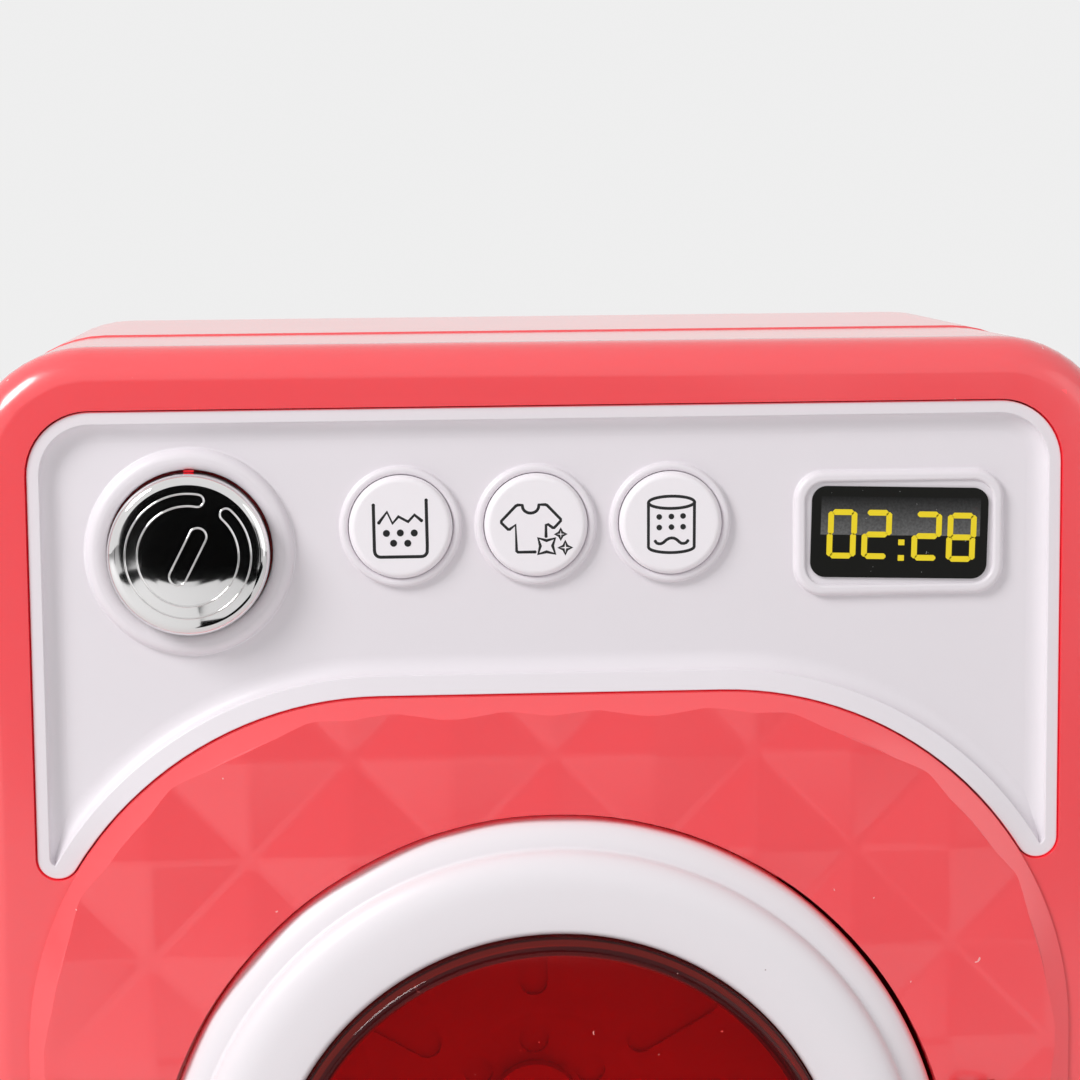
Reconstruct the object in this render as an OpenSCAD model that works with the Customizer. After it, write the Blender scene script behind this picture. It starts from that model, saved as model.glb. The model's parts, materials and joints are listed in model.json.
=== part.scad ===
// Toy washing machine: a battery toy with a turning drum, a hinged door, a power knob and
// three push buttons. X is right, Y goes from the front to the back, Z is up.
// The front face of the cabinet is the plane y = 0 until in_frame() centres the whole toy.

/* [Cabinet] */
// Width of the cabinet
body_w = 140; // [136:1:170]
// Height of the cabinet without its feet
body_h = 180; // [178:1:220]
// Depth of the cabinet from its front face to its back face
body_d = 80; // [80:1:110]
// Radius of the four corners, seen from the front
corner_r = 15; // [12:0.5:18]
// Radius along the front and back edges
edge_r = 4.3; // [3:0.1:5]
// Thickness of the moulded walls
wall = 2.2; // [2:0.1:2.6]
// Depth of the front shell, where the seam runs
seam_y = 32; // [28:0.5:36]
// Gap left along the seam
seam_gap = 0.2; // [0.1:0.05:0.4]
// Length of the lip that centres the rear shell
lip_len = 2.5; // [2:0.1:4]
// Height of the rubber feet
foot_h = 3; // [2:0.5:6]
// Radius of the rubber feet
foot_r = 6; // [5:0.5:7]

/* [Door] */
// Outer radius of the white door ring
door_r = 48.7; // [48:0.1:49.5]
// Width of the thin rim round the ring's raised shoulder
door_rim = 2.6; // [2.2:0.1:3]
// Width of the ring's face, from the shoulder to the window
ring_face = 11; // [10:0.1:12]
// Gap between the door ring and its recess
door_gap = 0.65; // [0.5:0.05:0.9]
// How far the ring's rim stands in front of the cabinet's face
rim_proud = 1.6; // [1.4:0.1:2]
// How far the ring's flat face stands in front of the cabinet's face
flat_proud = 4.7; // [4.2:0.1:5]
// How far the shoulder's crest stands above the flat face
crest_h = 0.5; // [0.3:0.1:0.8]
// How far the window's face stands above the ring's flat face
window_h = 1.2; // [0.8:0.1:1.6]
// Wall of the door ring and the window
door_t = 1.8; // [1.6:0.1:2]
// Depth of the door behind the cabinet's face
door_back_y = 2.4; // [2:0.1:2.6]
// Radius of the hinge barrels
barrel_r = 2.6; // [2.4:0.1:3]
// Length of the door's hinge barrel
door_barrel = 16; // [12:0.5:18]
// Length of each barrel on the cabinet
shell_barrel = 6; // [4:0.5:7]
// Radius of the steel hinge pin
pin_r = 1.2; // [1:0.05:1.4]

/* [Surround] */
// Distance from the cabinet's side to the surround of the door
surround_side = 6.3; // [5.7:0.1:7]
// Radius of the surround's corners
surround_r = 43; // [42:0.1:44]
// Distance from the cabinet's top to the surround's top edge
surround_drop = 42.5; // [41.5:0.5:46]
// Height of the surround's bottom edge above the floor
surround_low = 12.9; // [11.5:0.2:15]
// How far the surround stands in front of the cabinet's face
surround_proud = 0.7; // [0.5:0.1:1]
// Room in front of the surround for its cut facets
facet_room = 0.9; // [0.6:0.1:1]

/* [Control panel] */
// Distance from the cabinet's side to the white panel
panel_side = 7.9; // [7.5:0.1:9]
// Distance from the cabinet's top to the panel's top edge
panel_drop = 7.6; // [7:0.1:9]
// Radius of the panel's upper corners
panel_r = 7.5; // [6:0.5:9]
// Radius of the panel's two lower tips
tip_r = 2.5; // [2:0.1:3]
// Width of the panel's raised rim
rim_w = 1.5; // [1.2:0.1:2]
// Width of the bead along its curved lower edge
bead_w = 2.4; // [1.8:0.1:2.8]
// Depth of the rim's face behind the cabinet's face
rim_sink = 0.3; // [0.2:0.1:0.6]
// Depth of the panel's floor behind the cabinet's face
floor_sink = 2; // [1.6:0.1:2.4]
// Thickness of the panel
panel_t = 1.8; // [1.6:0.1:2.2]

/* [Power knob] */
// Distance from the panel's side to the knob's axis
knob_side = 19; // [18:0.1:20]
// Distance from the cabinet's top down to the knob's axis
knob_drop = 24.6; // [24:0.1:26]
// Radius of the chromed knob
knob_r = 9.65; // [9:0.05:10]
// Gap round the knob
knob_gap = 0.25; // [0.2:0.05:0.4]
// How far the knob stands in front of the cabinet's face
knob_proud = 3; // [2.4:0.1:4]
// Travel of the power knob
knob_travel = 1.5; // [1:0.1:1.5]

/* [Push buttons] */
// Distance between neighbouring buttons
button_pitch = 16.25; // [15.2:0.05:17]
// Place of the middle button, to the left of the panel's middle
button_x = 1.6; // [0:0.1:3]
// Distance from the cabinet's top down to the buttons' axes
button_drop = 21.9; // [21:0.1:23]
// Radius of each button
button_r = 6.1; // [5.6:0.05:6.2]
// Outer radius of the collar round each button
collar_r = 7.25; // [7.2:0.05:7.5]
// How far the buttons stand in front of the panel's floor
button_proud = 1.6; // [1.4:0.1:2.4]
// Travel of the buttons
button_travel = 1; // [0.6:0.1:1.2]

/* [Display] */
// Distance from the panel's side to the display's centre
display_side = 19.55; // [18:0.05:20]
// Distance from the cabinet's top down to the display's centre
display_drop = 23.55; // [22:0.05:25]
// Width of the frame round the label
display_w = 25.5; // [24:0.1:27]
// Height of the frame round the label
display_h = 15.15; // [14:0.05:17]
// Height of the frame above the panel's floor
display_t = 1; // [0.8:0.1:1.4]
// Width of the printed label
label_w = 21.6; // [20:0.1:22]
// Height of the printed label
label_h = 11.1; // [10:0.1:11.5]
// Tilt of the printed label in degrees
label_tilt = -1.6; // [-3:0.1:3]

/* [Drum] */
// Wall of the drum
drum_t = 1.6; // [1.4:0.1:1.8]
// Height of the three paddles inside the drum
paddle_h = 5; // [3:0.5:6]
// Radius of the steel drum shaft
shaft_r = 2.5; // [2:0.1:2.6]

/* [Gears] */
// Teeth of each small gear
small_teeth = 10; // [10:1:11]
// Teeth of each large gear
large_teeth = 40; // [38:1:40]
// Tooth size of the middle pair
module_b = 0.6; // [0.59:0.01:0.61]
// Tooth size next to the drum shaft
module_c = 0.9; // [0.89:0.01:0.91]
// Face width of the motor's gear pair
face_a = 2.4; // [2:0.1:2.6]
// Face width of the middle gear pair
face_b = 2.8; // [2.4:0.1:3]
// Face width of the drum's gear pair
face_c = 3.5; // [3.1:0.1:3.9]
// Play between meshing teeth
backlash = 0.14; // [0.12:0.01:0.2]

/* [Motor] */
// Radius of the motor's round sides
motor_r = 10; // [9.5:0.1:10.2]
// Distance between the motor's flat sides
motor_flat = 15; // [14:0.1:15.1]
// Gap between the drum and the motor above it
motor_gap = 1.7; // [1.6:0.1:2]
// Length of the motor's steel can
motor_len = 20; // [18:0.5:22]

/* [Batteries] */
// Diameter of one cell
cell_d = 14.5; // [14:0.1:14.5]
// Length of one cell
cell_l = 50.2; // [49:0.1:50.5]
// Height of the battery bay's floor above the toy's floor
bay_low = 10.2; // [9.8:0.1:10.2]

/* [Speaker] */
// Radius of the loudspeaker
speaker_r = 14.5; // [13:0.5:15]
// Distance from the cabinet's side to the loudspeaker's axis
speaker_side = 38; // [36:0.5:42]
// Gap between the loudspeaker's seat and the gearbox post below it
speaker_gap = 5.6; // [3:0.2:8]

/* [Fits] */
// Gap round a sliding or dropped-in piece
slide_gap = 0.2; // [0.15:0.05:0.25]
// Radial clearance of a turning shaft or pin
running_gap = 0.05; // [0.03:0.01:0.08]
// Radial clearance of a piece that stays put in its hole
snug_gap = 0.02; // [0.01:0.01:0.04]

/* [Hidden] */
$fn = 64;
coral = "#f55f65";
white = "#f1ecf1";
steel = "#c3c6ca";
brass = "#c9a24b";
eps = 0.01;

// Fasteners
screw_r = 1.4;
screw_head_r = 2.7;
screw_head_h = 1.7;
small_screw_r = 1;
small_head_r = 1.9;
small_head_h = 1.3;
boss_r = 3.4;
pilot_len = 9;
board_screw_len = 6;
speaker_screw_len = 3.6;
cover_screw_len = 6;

// Heights and depths that follow from the sizes above
body_top = foot_h + body_h;
body_mid = foot_h + body_h / 2;
rear_in = body_d - wall;
frame_y = (flat_proud + window_h - body_d) / 2;
panel_top = body_top - panel_drop;
knob_z = body_top - knob_drop;
button_z = body_top - button_drop;
display_z = body_top - display_drop;
surround_top = body_top - surround_drop;
surround_z = (surround_top + surround_low) / 2;
door_z = surround_z;
surround_half = body_w / 2 - surround_side;
panel_half = body_w / 2 - panel_side;
knob_x = panel_half - knob_side;
display_x = panel_half - display_side;
speaker_x = body_w / 2 - speaker_side;

// The door's ring, and the recess that it lies in
shoulder_r = door_r - door_rim;
window_r = shoulder_r - ring_face;
recess_r = door_r + door_gap;
recess_y = door_back_y + 0.8;
recess_back = recess_y + wall;
hook_t = 1.6;
catch_x = shoulder_r - door_t - 1.2;
drum_r = catch_x - hook_t / 2 - drum_t - 1.5;
mouth_r = drum_r - 2.3;
mouth_y = recess_back + 2.6;
hinge_x = recess_r + barrel_r - 0.4;
hinge_y = -barrel_r;
finger_r = 8;
relief_angle = 55;

// The surround's outline, and the panel that follows it
surround_w = 2 * surround_half;
surround_h = surround_top - surround_low;
line_gap = 0.3;
tip_x = panel_half - tip_r;
arc_x = surround_half - surround_r;
arc_z = surround_top - surround_r;
tip_reach = surround_r + line_gap + tip_r;
tip_z = arc_z + sqrt(pow(tip_reach, 2) - pow(tip_x - arc_x, 2));
bed_y = floor_sink + panel_t + slide_gap;
bed_back = bed_y + wall;
board_y = bed_back + 8;
board_t = 1.6;
board_low = button_z - 13.5;
board_top = button_z + 11;
board_half = panel_half - 12.1;

// The battery bay takes the back of the cabinet, the gearbox lies in front of it, and the
// drum fills what they leave
bay_wall = 1.6;
cover_skin = wall - 0.3;
bay_back = body_d - cover_skin;
bay_y = bay_back - cell_d - 0.5;
plate_t = 2;
cover_t = 1.6;
gear_gap = 0.6;
cover_y = bay_y - bay_wall - 0.3 - cover_t;
y_c = cover_y - gear_gap - face_c;
y_b = y_c - gear_gap - face_b;
y_a = y_b - gear_gap - face_a;
gears_y = y_a - 0.4;
case_y = gears_y - plate_t;
drum_back = case_y - 2.8;
drum_y = recess_back + 1;
drum_len = drum_back - drum_y;
shaft_end = cover_y + cover_t + 1.8;

// The gear train stands above the drum's axis
step_c = module_c * (small_teeth + large_teeth) / 2;
step_b = module_b * (small_teeth + large_teeth) / 2;
step_a = drum_r + drum_t + motor_gap + motor_flat / 2 - step_b - step_c;
module_a = 2 * step_a / (small_teeth + large_teeth);
gear2_z = door_z + step_c;
gear1_z = gear2_z + step_b;
motor_z = gear1_z + step_a;
motor_front = case_y - motor_len;
endcap_t = 5;
motor_shaft_r = 1;
gear_pin_r = 1;
bush_r = shaft_r + 1.5;
ear_r = 3.2;
post_low = [door_z + 6.4, 32];
post_high = [motor_z - 1.6, 27];
ear_low = [door_z + 6.4, 24];
ear_high = [gear1_z - 7, 17.5];
seat_wall = 1.3;
speaker_ear = speaker_r + 4;
speaker_boss_r = 2.8;
magnet_r = 8.5;
magnet_back = 7.4;
speaker_z = post_high[0] + boss_r + speaker_gap + seat_wall + speaker_r + slide_gap;

// Where the fasteners sit
shell_screw_x = body_w / 2 - 9.5;
shell_screw_z = [foot_h + 19, door_z + 33, body_top - 28];
shell_screw_len = 10;
shell_seat_y = seam_y + 8;
panel_boss_r = 2.6;
panel_boss_y = bed_back - 0.1;
panel_bosses = [for (s = [-1, 1]) each [[s * (panel_half - 8), panel_top - 6],
                                        [s * (panel_half - 4.6), tip_z + 8]]];
board_posts = [for (s = [-1, 1], z = [board_low + 2.8, board_top - 3]) [s * (board_half - 3), z]];

// The battery bay in the rear shell
bay_half = cell_l / 2 + 3.4;
cell_pitch = cell_d + 0.1;
bay_high = bay_low + 3 * cell_pitch + 0.3;
cover_half = bay_half + 2.6;
tab_x = bay_half - 8;
contact_h = 10;
contact_w = 11;
contact_coil_r = 4.6;
contact_tip_r = 3;
cover_low = bay_low - 2;
cover_high = bay_high + 7;
cover_screw_z = bay_high + 4.2;
function cell_z(i) = bay_low + 0.2 + cell_d / 2 + i * cell_pitch;
contact_t = 0.5;

// The push buttons and the knob behind the panel
flange_t = 1;
button_flange_r = button_r + 1.2;
button_flange_y = bed_back + 0.15;
dome_h = 3;
knob_skirt_y = bed_y - knob_travel - 0.3;
hub_r = 3;
hub_y = bed_y - knob_travel - 0.2;
plunger_r = 3.2;
plunger_back = bed_back + 2.9;
knob_seat_y = plunger_back - small_head_h - 0.2;
plunger_flange_y = bed_back + 0.15;
plunger_flange_r = 5.6;
switch_y = board_y - 3.4;
spring_r = 4.75;
spring_wire = 0.3;
clamp_t = 1.2;
clamp_w = 2.4;

// ---- Building blocks ----

// Puts the middle of the whole toy's depth on y = 0
module in_frame() translate([0, frame_y, 0]) children();

// Moves to a point of the front view
module at(x, z) translate([x, 0, z]) children();

// A rod along Y between two depths
module rod(r, y0, y1) translate([0, y0, 0]) rotate([-90, 0, 0]) cylinder(r = r, h = y1 - y0);

// A tube along Y between two depths
module tube(r, bore, y0, y1) difference() {
    rod(r, y0, y1);
    rod(bore, y0 - eps, y1 + eps);
}

// A flat outline of the front view, thickened between two depths
module slab(y0, y1) translate([0, y1, 0]) rotate([90, 0, 0]) linear_extrude(y1 - y0) children();

// A profile of radius and depth, turned about a Y axis
module turned() rotate([-90, 0, 0]) rotate_extrude($fn = 96) children();

// A rectangle with round corners, centred
module rounded(w, h, r) union() {
    square([w - 2 * r, h], center = true);
    square([w, h - 2 * r], center = true);
    for (x = [-1, 1], y = [-1, 1]) translate([x * (w / 2 - r), y * (h / 2 - r)]) circle(r);
}

// Both mirror images of something across the middle plane
module both_sides() for (s = [0, 1]) mirror([s, 0, 0]) children();

// A screw along Y whose head sits at the depth y; side is -1 when the head faces the front
module screw(y, length, side, r = screw_r, head_r = screw_head_r, head_h = screw_head_h)
    translate([0, y, 0]) mirror([0, side > 0 ? 0 : 1, 0]) difference() {
        union() {
            rod(head_r, 0, head_h);
            rod(r, -length, eps);
        }
        for (a = [0, 90]) rotate([0, a, 0])
            translate([-head_r * 0.65, head_h * 0.5, -0.3]) cube([head_r * 1.3, head_h, 0.6]);
    }

// A round wire through a list of points; ends are square to their stretches
function unit(v) = v / norm(v);
function heading(p, i) = unit(
    (i > 0 ? unit(p[i] - p[i - 1]) : [0, 0, 0]) +
    (i < len(p) - 1 ? unit(p[i + 1] - p[i]) : [0, 0, 0]));
module wire(p, r, sides, side_axis) {
    rings = [for (i = [0:len(p) - 1])
        let (t = heading(p, i), u = unit(cross(side_axis, t)), v = cross(t, u))
        each [for (k = [0:sides - 1]) p[i] + r * (cos(k * 360 / sides) * u + sin(k * 360 / sides) * v)]];
    walls = [for (i = [0:len(p) - 2], k = [0:sides - 1])
        let (a = i * sides + k, b = i * sides + (k + 1) % sides) [a, b, b + sides, a + sides]];
    last = (len(p) - 1) * sides;
    polyhedron(rings, concat(
        [[for (k = [sides - 1:-1:0]) k]],
        walls,
        [[for (k = [0:sides - 1]) last + k]]), convexity = 8);
}

// A coil spring along Y from y0 to y1 whose radius changes from r0 to r1
module coil(r0, r1, y0, y1, turns, wire_r) {
    steps = turns * 14;
    wire([for (i = [0:steps]) let (f = i / steps, a = 360 * turns * f, r = r0 + (r1 - r0) * f)
        [r * cos(a), y0 + wire_r + (y1 - y0 - 2 * wire_r) * f, r * sin(a)]],
        wire_r, 6, [0, 1, 0]);
}

// ---- Gears ----

pressure = 25;
function involute(a) = tan(a) * 180 / PI - a;
function half_tooth(r, rp) = involute(pressure) - involute(acos(min(1, rp * cos(pressure) / r)));
function flank(rp, m) = let (rb = rp * cos(pressure), r0 = max(rb, rp - 0.75 * m), r1 = rp + 0.8 * m)
    [for (i = [0:4]) r0 + (r1 - r0) * i / 4];
function tooth(rp, m, teeth, centre) = let (
    half = 90 / teeth - backlash / rp * 90 / PI,
    radii = flank(rp, m),
    root = rp - 1.05 * m) concat(
        [[root, centre - half - half_tooth(radii[0], rp)]],
        [for (r = radii) [r, centre - half - half_tooth(r, rp)]],
        [for (i = [len(radii) - 1:-1:0]) [radii[i], centre + half + half_tooth(radii[i], rp)]],
        [[root, centre + half + half_tooth(radii[0], rp)]]);

// A gear's outline; a tooth stands on the direction first
module gear_outline(teeth, m, first) {
    rp = m * teeth / 2;
    polar = [for (i = [0:teeth - 1]) each tooth(rp, m, teeth, first + i * 360 / teeth)];
    polygon([for (p = polar) p[0] * [cos(p[1]), sin(p[1])]]);
}
module large_gear(m, y, face) slab(y, y + face) gear_outline(large_teeth, m, 90);
module small_gear(m, y, face) slab(y, y + face) gear_outline(small_teeth, m, 180 / small_teeth - 90);

// ---- Outlines ----

module body_outline(inset) translate([0, body_mid])
    rounded(body_w - 2 * inset, body_h - 2 * inset, corner_r - inset);

module surround_outline(grow) translate([0, surround_z])
    rounded(surround_w + 2 * grow, surround_h + 2 * grow, surround_r + grow);

// The panel's outline: its lower edge follows the surround down to two round tips
function arc_at(z, reach) = arc_x + sqrt(pow(reach, 2) - pow(z - arc_z, 2));
module panel_outline(grow) {
    reach = surround_r + line_gap - grow;
    slope = [tip_x - arc_x, tip_z - arc_z] / tip_reach;
    difference() {
        translate([0, (panel_top + tip_z) / 2]) union() {
            translate([0, -panel_r / 2])
                square([2 * (panel_half + grow), panel_top - tip_z - panel_r], center = true);
            translate([0, grow / 2])
                square([2 * (panel_half - panel_r), panel_top - tip_z + grow], center = true);
            for (s = [-1, 1])
                translate([s * (panel_half - panel_r), (panel_top - tip_z) / 2 - panel_r])
                    circle(panel_r + grow);
        }
        surround_outline(line_gap - grow);
    }
    for (s = [-1, 1]) {
        translate([s * tip_x, tip_z]) circle(tip_r + grow);
        polygon([[s * tip_x, tip_z + 0.5], [s * tip_x, tip_z],
                 [s * (arc_x + slope[0] * reach), arc_z + slope[1] * reach],
                 [s * arc_at(tip_z, reach), tip_z],
                 [s * arc_at(tip_z + 0.5, reach), tip_z + 0.5]]);
    }
}

// ---- Cabinet ----

// The outside of the cabinet between its round front or back edge and the seam
module cabinet_block(y_edge, y_seam) {
    inward = y_seam > y_edge ? 1 : -1;
    hull() for (x = [-1, 1], z = [-1, 1])
        at(x * (body_w / 2 - corner_r), body_mid + z * (body_h / 2 - corner_r)) {
            translate([0, y_edge + inward * edge_r, 0]) rotate([90, 0, 0])
                rotate_extrude($fn = 48) translate([corner_r - edge_r, 0]) circle(edge_r, $fn = 32);
            rod(corner_r, min(y_seam, y_edge + inward * edge_r), max(y_seam, y_edge + inward * edge_r), $fn = 48);
        }
}

module shell_screw_points() for (s = [-1, 1], z = shell_screw_z) at(s * shell_screw_x, z) children();

module foot_points(y) for (s = [-1, 1]) translate([s * (body_w / 2 - corner_r - foot_r - 3), y, 0]) children();
front_foot_y = edge_r + foot_r + 2;
rear_foot_y = body_d - front_foot_y;
foot_stem_r = 2.4;

module front_shell() color(coral) difference() {
    union() {
        difference() {
            cabinet_block(0, seam_y);
            slab(wall, seam_y + 1) body_outline(wall);
        }
        // lip that the rear shell slides over
        difference() {
            slab(seam_y - 2, seam_y + lip_len) body_outline(wall / 2 + slide_gap);
            slab(seam_y - 3, seam_y + lip_len + 1) body_outline(wall);
        }
        slab(-surround_proud, wall) surround_outline(0);
        // cup for the door, and the collar that leads into the drum
        at(0, door_z) {
            rod(recess_r + wall, 0, recess_back);
            rod(mouth_r + 1.6, recess_back - eps, mouth_y);
        }
        // bed behind the control panel
        slab(wall / 2, bed_back) panel_outline(wall);
        for (p = board_posts) at(p[0], p[1]) rod(2.8, bed_back - eps, board_y);
        shell_screw_points() rod(boss_r, wall / 2, shell_seat_y - wall - slide_gap);
        catch_post();
        for (s = [-1, 1]) translate([hinge_x, hinge_y, door_z + s * (door_barrel + shell_barrel + 0.8) / 2])
            cylinder(r = barrel_r, h = shell_barrel, center = true);
    }
    slab(-4, bed_y) panel_outline(slide_gap);
    at(0, door_z) {
        rod(recess_r, -8, recess_y);
        rod(mouth_r, 0, mouth_y + 1);
        at(-recess_r - finger_r / 2, 0) rod(finger_r, -surround_proud - 1, 1);
        // relief slot behind the door's hinge side
        intersection() {
            tube(recess_r + 0.4, recess_r - 1.4, recess_y - 1, recess_back + 1);
            slab(recess_y - 1, recess_back + 1) polygon([[0, 0], [body_w * cos(relief_angle),
                body_w * sin(relief_angle)], [body_w, 0], [body_w * cos(relief_angle), -body_w * sin(relief_angle)]]);
        }
        translate([hinge_x, hinge_y, 0]) {
            cylinder(r = barrel_r + 0.4, h = door_barrel + 0.8, center = true);
            cylinder(r = pin_r + snug_gap, h = 2 * (door_barrel + shell_barrel), center = true);
        }
    }
    catch_slot();
    at(-knob_x, knob_z) rod(plunger_r + slide_gap, 0, bed_back + 1);
    button_points() rod(button_r + slide_gap, 0, bed_back + 1);
    for (p = panel_bosses) at(p[0], p[1]) rod(panel_boss_r + slide_gap, 0, bed_back + 1);
    for (p = board_posts) at(p[0], p[1]) rod(small_screw_r + snug_gap, board_y - 6, board_y + 1);
    shell_screw_points() rod(screw_r + snug_gap, shell_seat_y - wall - 9, shell_seat_y);
    foot_points(front_foot_y) translate([0, 0, foot_h - 1]) cylinder(r = foot_stem_r + snug_gap, h = wall + 2);
}

module rear_shell() color(coral) difference() {
    union() {
        difference() {
            cabinet_block(body_d, seam_y + seam_gap);
            slab(seam_y - 1, rear_in) body_outline(wall);
            slab(seam_y - 1, seam_y + lip_len + 0.2) body_outline(wall / 2);
        }
        // battery bay
        translate([-bay_half - bay_wall, bay_y - bay_wall, bay_low - bay_wall])
            cube([2 * (bay_half + bay_wall), body_d - bay_y - wall / 2 + bay_wall, bay_high - bay_low + 2 * bay_wall]);
        translate([-cover_half - bay_wall, bay_back - bay_wall, cover_low - bay_wall])
            cube([2 * (cover_half + bay_wall), wall - cover_skin + bay_wall, cover_high - cover_low + 2 * bay_wall]);
        at(0, cover_screw_z) rod(boss_r, bay_back - 8, rear_in + eps);
        shell_screw_points() rod(boss_r + 0.8, shell_seat_y - wall, rear_in + eps);
        for (p = [post_low, post_high], s = [-1, 1]) at(s * p[1], p[0]) rod(boss_r, gears_y, rear_in + eps);
        for (s = [-1, 1]) at(speaker_x + s * speaker_ear, speaker_z) rod(speaker_boss_r, rear_in - 1, rear_in + eps);
        at(speaker_x, speaker_z) tube(speaker_r + slide_gap + seat_wall, speaker_r + slide_gap, rear_in - 1, rear_in + eps);
    }
    translate([-bay_half, bay_y, bay_low]) cube([2 * bay_half, body_d, bay_high - bay_low]);
    translate([-cover_half, bay_back, cover_low]) cube([2 * cover_half, body_d, cover_high - cover_low]);
    at(0, cover_screw_z) rod(screw_r + snug_gap, bay_back - 7, body_d);
    for (s = [-1, 1]) translate([s * tab_x - 2.2, bay_back - 3.2, bay_low - 1.75])
        cube([4.4, 4, 1.6]);
    shell_screw_points() {
        rod(screw_head_r + 0.3, shell_seat_y, body_d + 1);
        rod(screw_r + 0.2, shell_seat_y - wall - 1, shell_seat_y + 1);
    }
    for (p = [post_low, post_high], s = [-1, 1]) at(s * p[1], p[0])
        rod(screw_r + snug_gap, gears_y - 1, gears_y + pilot_len);
    for (s = [-1, 1]) at(speaker_x + s * speaker_ear, speaker_z)
        rod(small_screw_r + snug_gap, rear_in - 2, rear_in + wall - 0.7);
    // loudspeaker grille
    at(speaker_x, speaker_z) {
        rod(1, rear_in - 1, body_d + 1);
        for (ring = [1:2], k = [0:6 * ring - 1]) rotate([0, k * 60 / ring, 0])
            at(speaker_r * 0.36 * ring, 0) rod(1, rear_in - 1, body_d + 1);
    }
    foot_points(rear_foot_y) translate([0, 0, foot_h - 1]) cylinder(r = foot_stem_r + snug_gap, h = wall + 2);
}

module shell_screws() color(steel) shell_screw_points() screw(shell_seat_y, shell_screw_len, 1);

module feet() color("#5b5558") for (y = [front_foot_y, rear_foot_y]) foot_points(y) union() {
    cylinder(r = foot_r, h = foot_h);
    cylinder(r = foot_stem_r, h = foot_h + wall + 0.3);
    translate([0, 0, foot_h + wall + 0.1]) cylinder(r = foot_stem_r + 0.9, h = 1.2);
}

// ---- Control panel ----

module button_points() for (i = [-1:1]) at(-button_x + i * button_pitch, button_z) children();

module control_panel() color(white) difference() {
    union() {
        difference() {
            slab(rim_sink, floor_sink + panel_t) panel_outline(0);
            slab(rim_sink - 1, floor_sink) difference() {
                panel_outline(-rim_w);
                surround_outline(line_gap + bead_w);
            }
        }
        // raised rings round the knob and the buttons, and the frame of the display
        at(-knob_x, knob_z) turned() translate([knob_r + knob_gap + 1.3, floor_sink])
            circle(1.3, $fn = 32);
        button_points() rod(collar_r, floor_sink - 0.9, floor_sink + eps);
        slab(floor_sink - display_t, floor_sink + eps) translate([display_x, display_z])
            rounded(display_w, display_h, 3.5);
        for (p = panel_bosses) at(p[0], p[1]) rod(panel_boss_r, floor_sink + 0.5, panel_boss_y);
    }
    at(-knob_x, knob_z) rod(knob_r + knob_gap, -2, bed_y + 1);
    button_points() rod(button_r + slide_gap, -2, bed_y + 1);
    slab(floor_sink - display_t - 1, floor_sink - display_t + 0.4) translate([display_x, display_z])
        rounded(display_w - 2.6, display_h - 2.6, 2.4);
    for (p = panel_bosses) at(p[0], p[1]) rod(small_screw_r + snug_gap, floor_sink + 0.9, panel_boss_y + 1);
}

module panel_screws() color(steel) for (p = panel_bosses) at(p[0], p[1])
    screw(bed_back, bed_back - floor_sink - 1.2, 1, small_screw_r, panel_boss_r + 0.9, small_head_h);

module display_label() color("#161417")
    slab(floor_sink - display_t + 0.1, floor_sink - display_t + 0.4)
        translate([display_x, display_z]) rotate(label_tilt) rounded(label_w, label_h, 1.85);

// ---- Power knob ----

module power_knob() color("#c8c8cc") at(-knob_x, knob_z) difference() {
    union() {
        turned() polygon(concat(
            [[knob_r, knob_skirt_y], [knob_r, -1.2]],
            [for (a = [0:15:90]) [knob_r - 1.2 + 1.2 * cos(a), -1.2 - 1.2 * sin(a)]],
            [for (i = [1:6]) let (r = (knob_r - 1.6) * (1 - i / 6))
                [r, -2.4 - (knob_proud - 2.4) * (1 - pow(r / (knob_r - 1.6), 2))]],
            [[0, -0.9], [knob_r - 1.6, -0.9], [knob_r - 1.6, knob_skirt_y]]));
        rod(hub_r, -1.5, hub_y);
    }
    rod(small_screw_r + snug_gap, -0.8, hub_y + 1);
}

module knob_screw() color(steel) at(-knob_x, knob_z)
    screw(knob_seat_y, knob_seat_y + 0.5, 1, small_screw_r, small_head_r, small_head_h);

module power_plunger() color(white) at(-knob_x, knob_z) difference() {
    union() {
        rod(plunger_r, hub_y + 0.1, plunger_back);
        rod(plunger_flange_r, plunger_flange_y, plunger_flange_y + flange_t);
    }
    rod(small_screw_r + running_gap, 0, board_y);
    rod(small_head_r + 0.15, knob_seat_y, board_y);
}

module power_spring() color(steel) at(-knob_x, knob_z)
    coil(spring_r, spring_r, plunger_flange_y + flange_t, board_y, 5, spring_wire);

module power_switch() color("#2c2c30") at(-knob_x, knob_z) difference() {
    translate([-2.9, switch_y, -2.9]) cube([5.8, board_y - switch_y, 5.8]);
    rod(1.6, switch_y - 1, board_y - 0.4);
}

module switch_pin() color(white) at(-knob_x, knob_z) rod(1.5, plunger_back + 0.1, board_y - 0.5 - knob_travel);

// ---- Push buttons ----

module push_button(i) color(white) at(-button_x + i * button_pitch, button_z) union() {
    turned() polygon([
        [0, floor_sink - button_proud], [button_r - 0.65, floor_sink - button_proud],
        [button_r, floor_sink - button_proud + 0.6], [button_r, button_flange_y + eps],
        [button_flange_r, button_flange_y + eps], [button_flange_r, button_flange_y + flange_t],
        [0, button_flange_y + flange_t]]);
    rod(2, button_flange_y, board_y - dome_h - 0.05);
}
module wash_button() push_button(-1);
module clothes_button() push_button(0);
module program_button() push_button(1);

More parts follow.
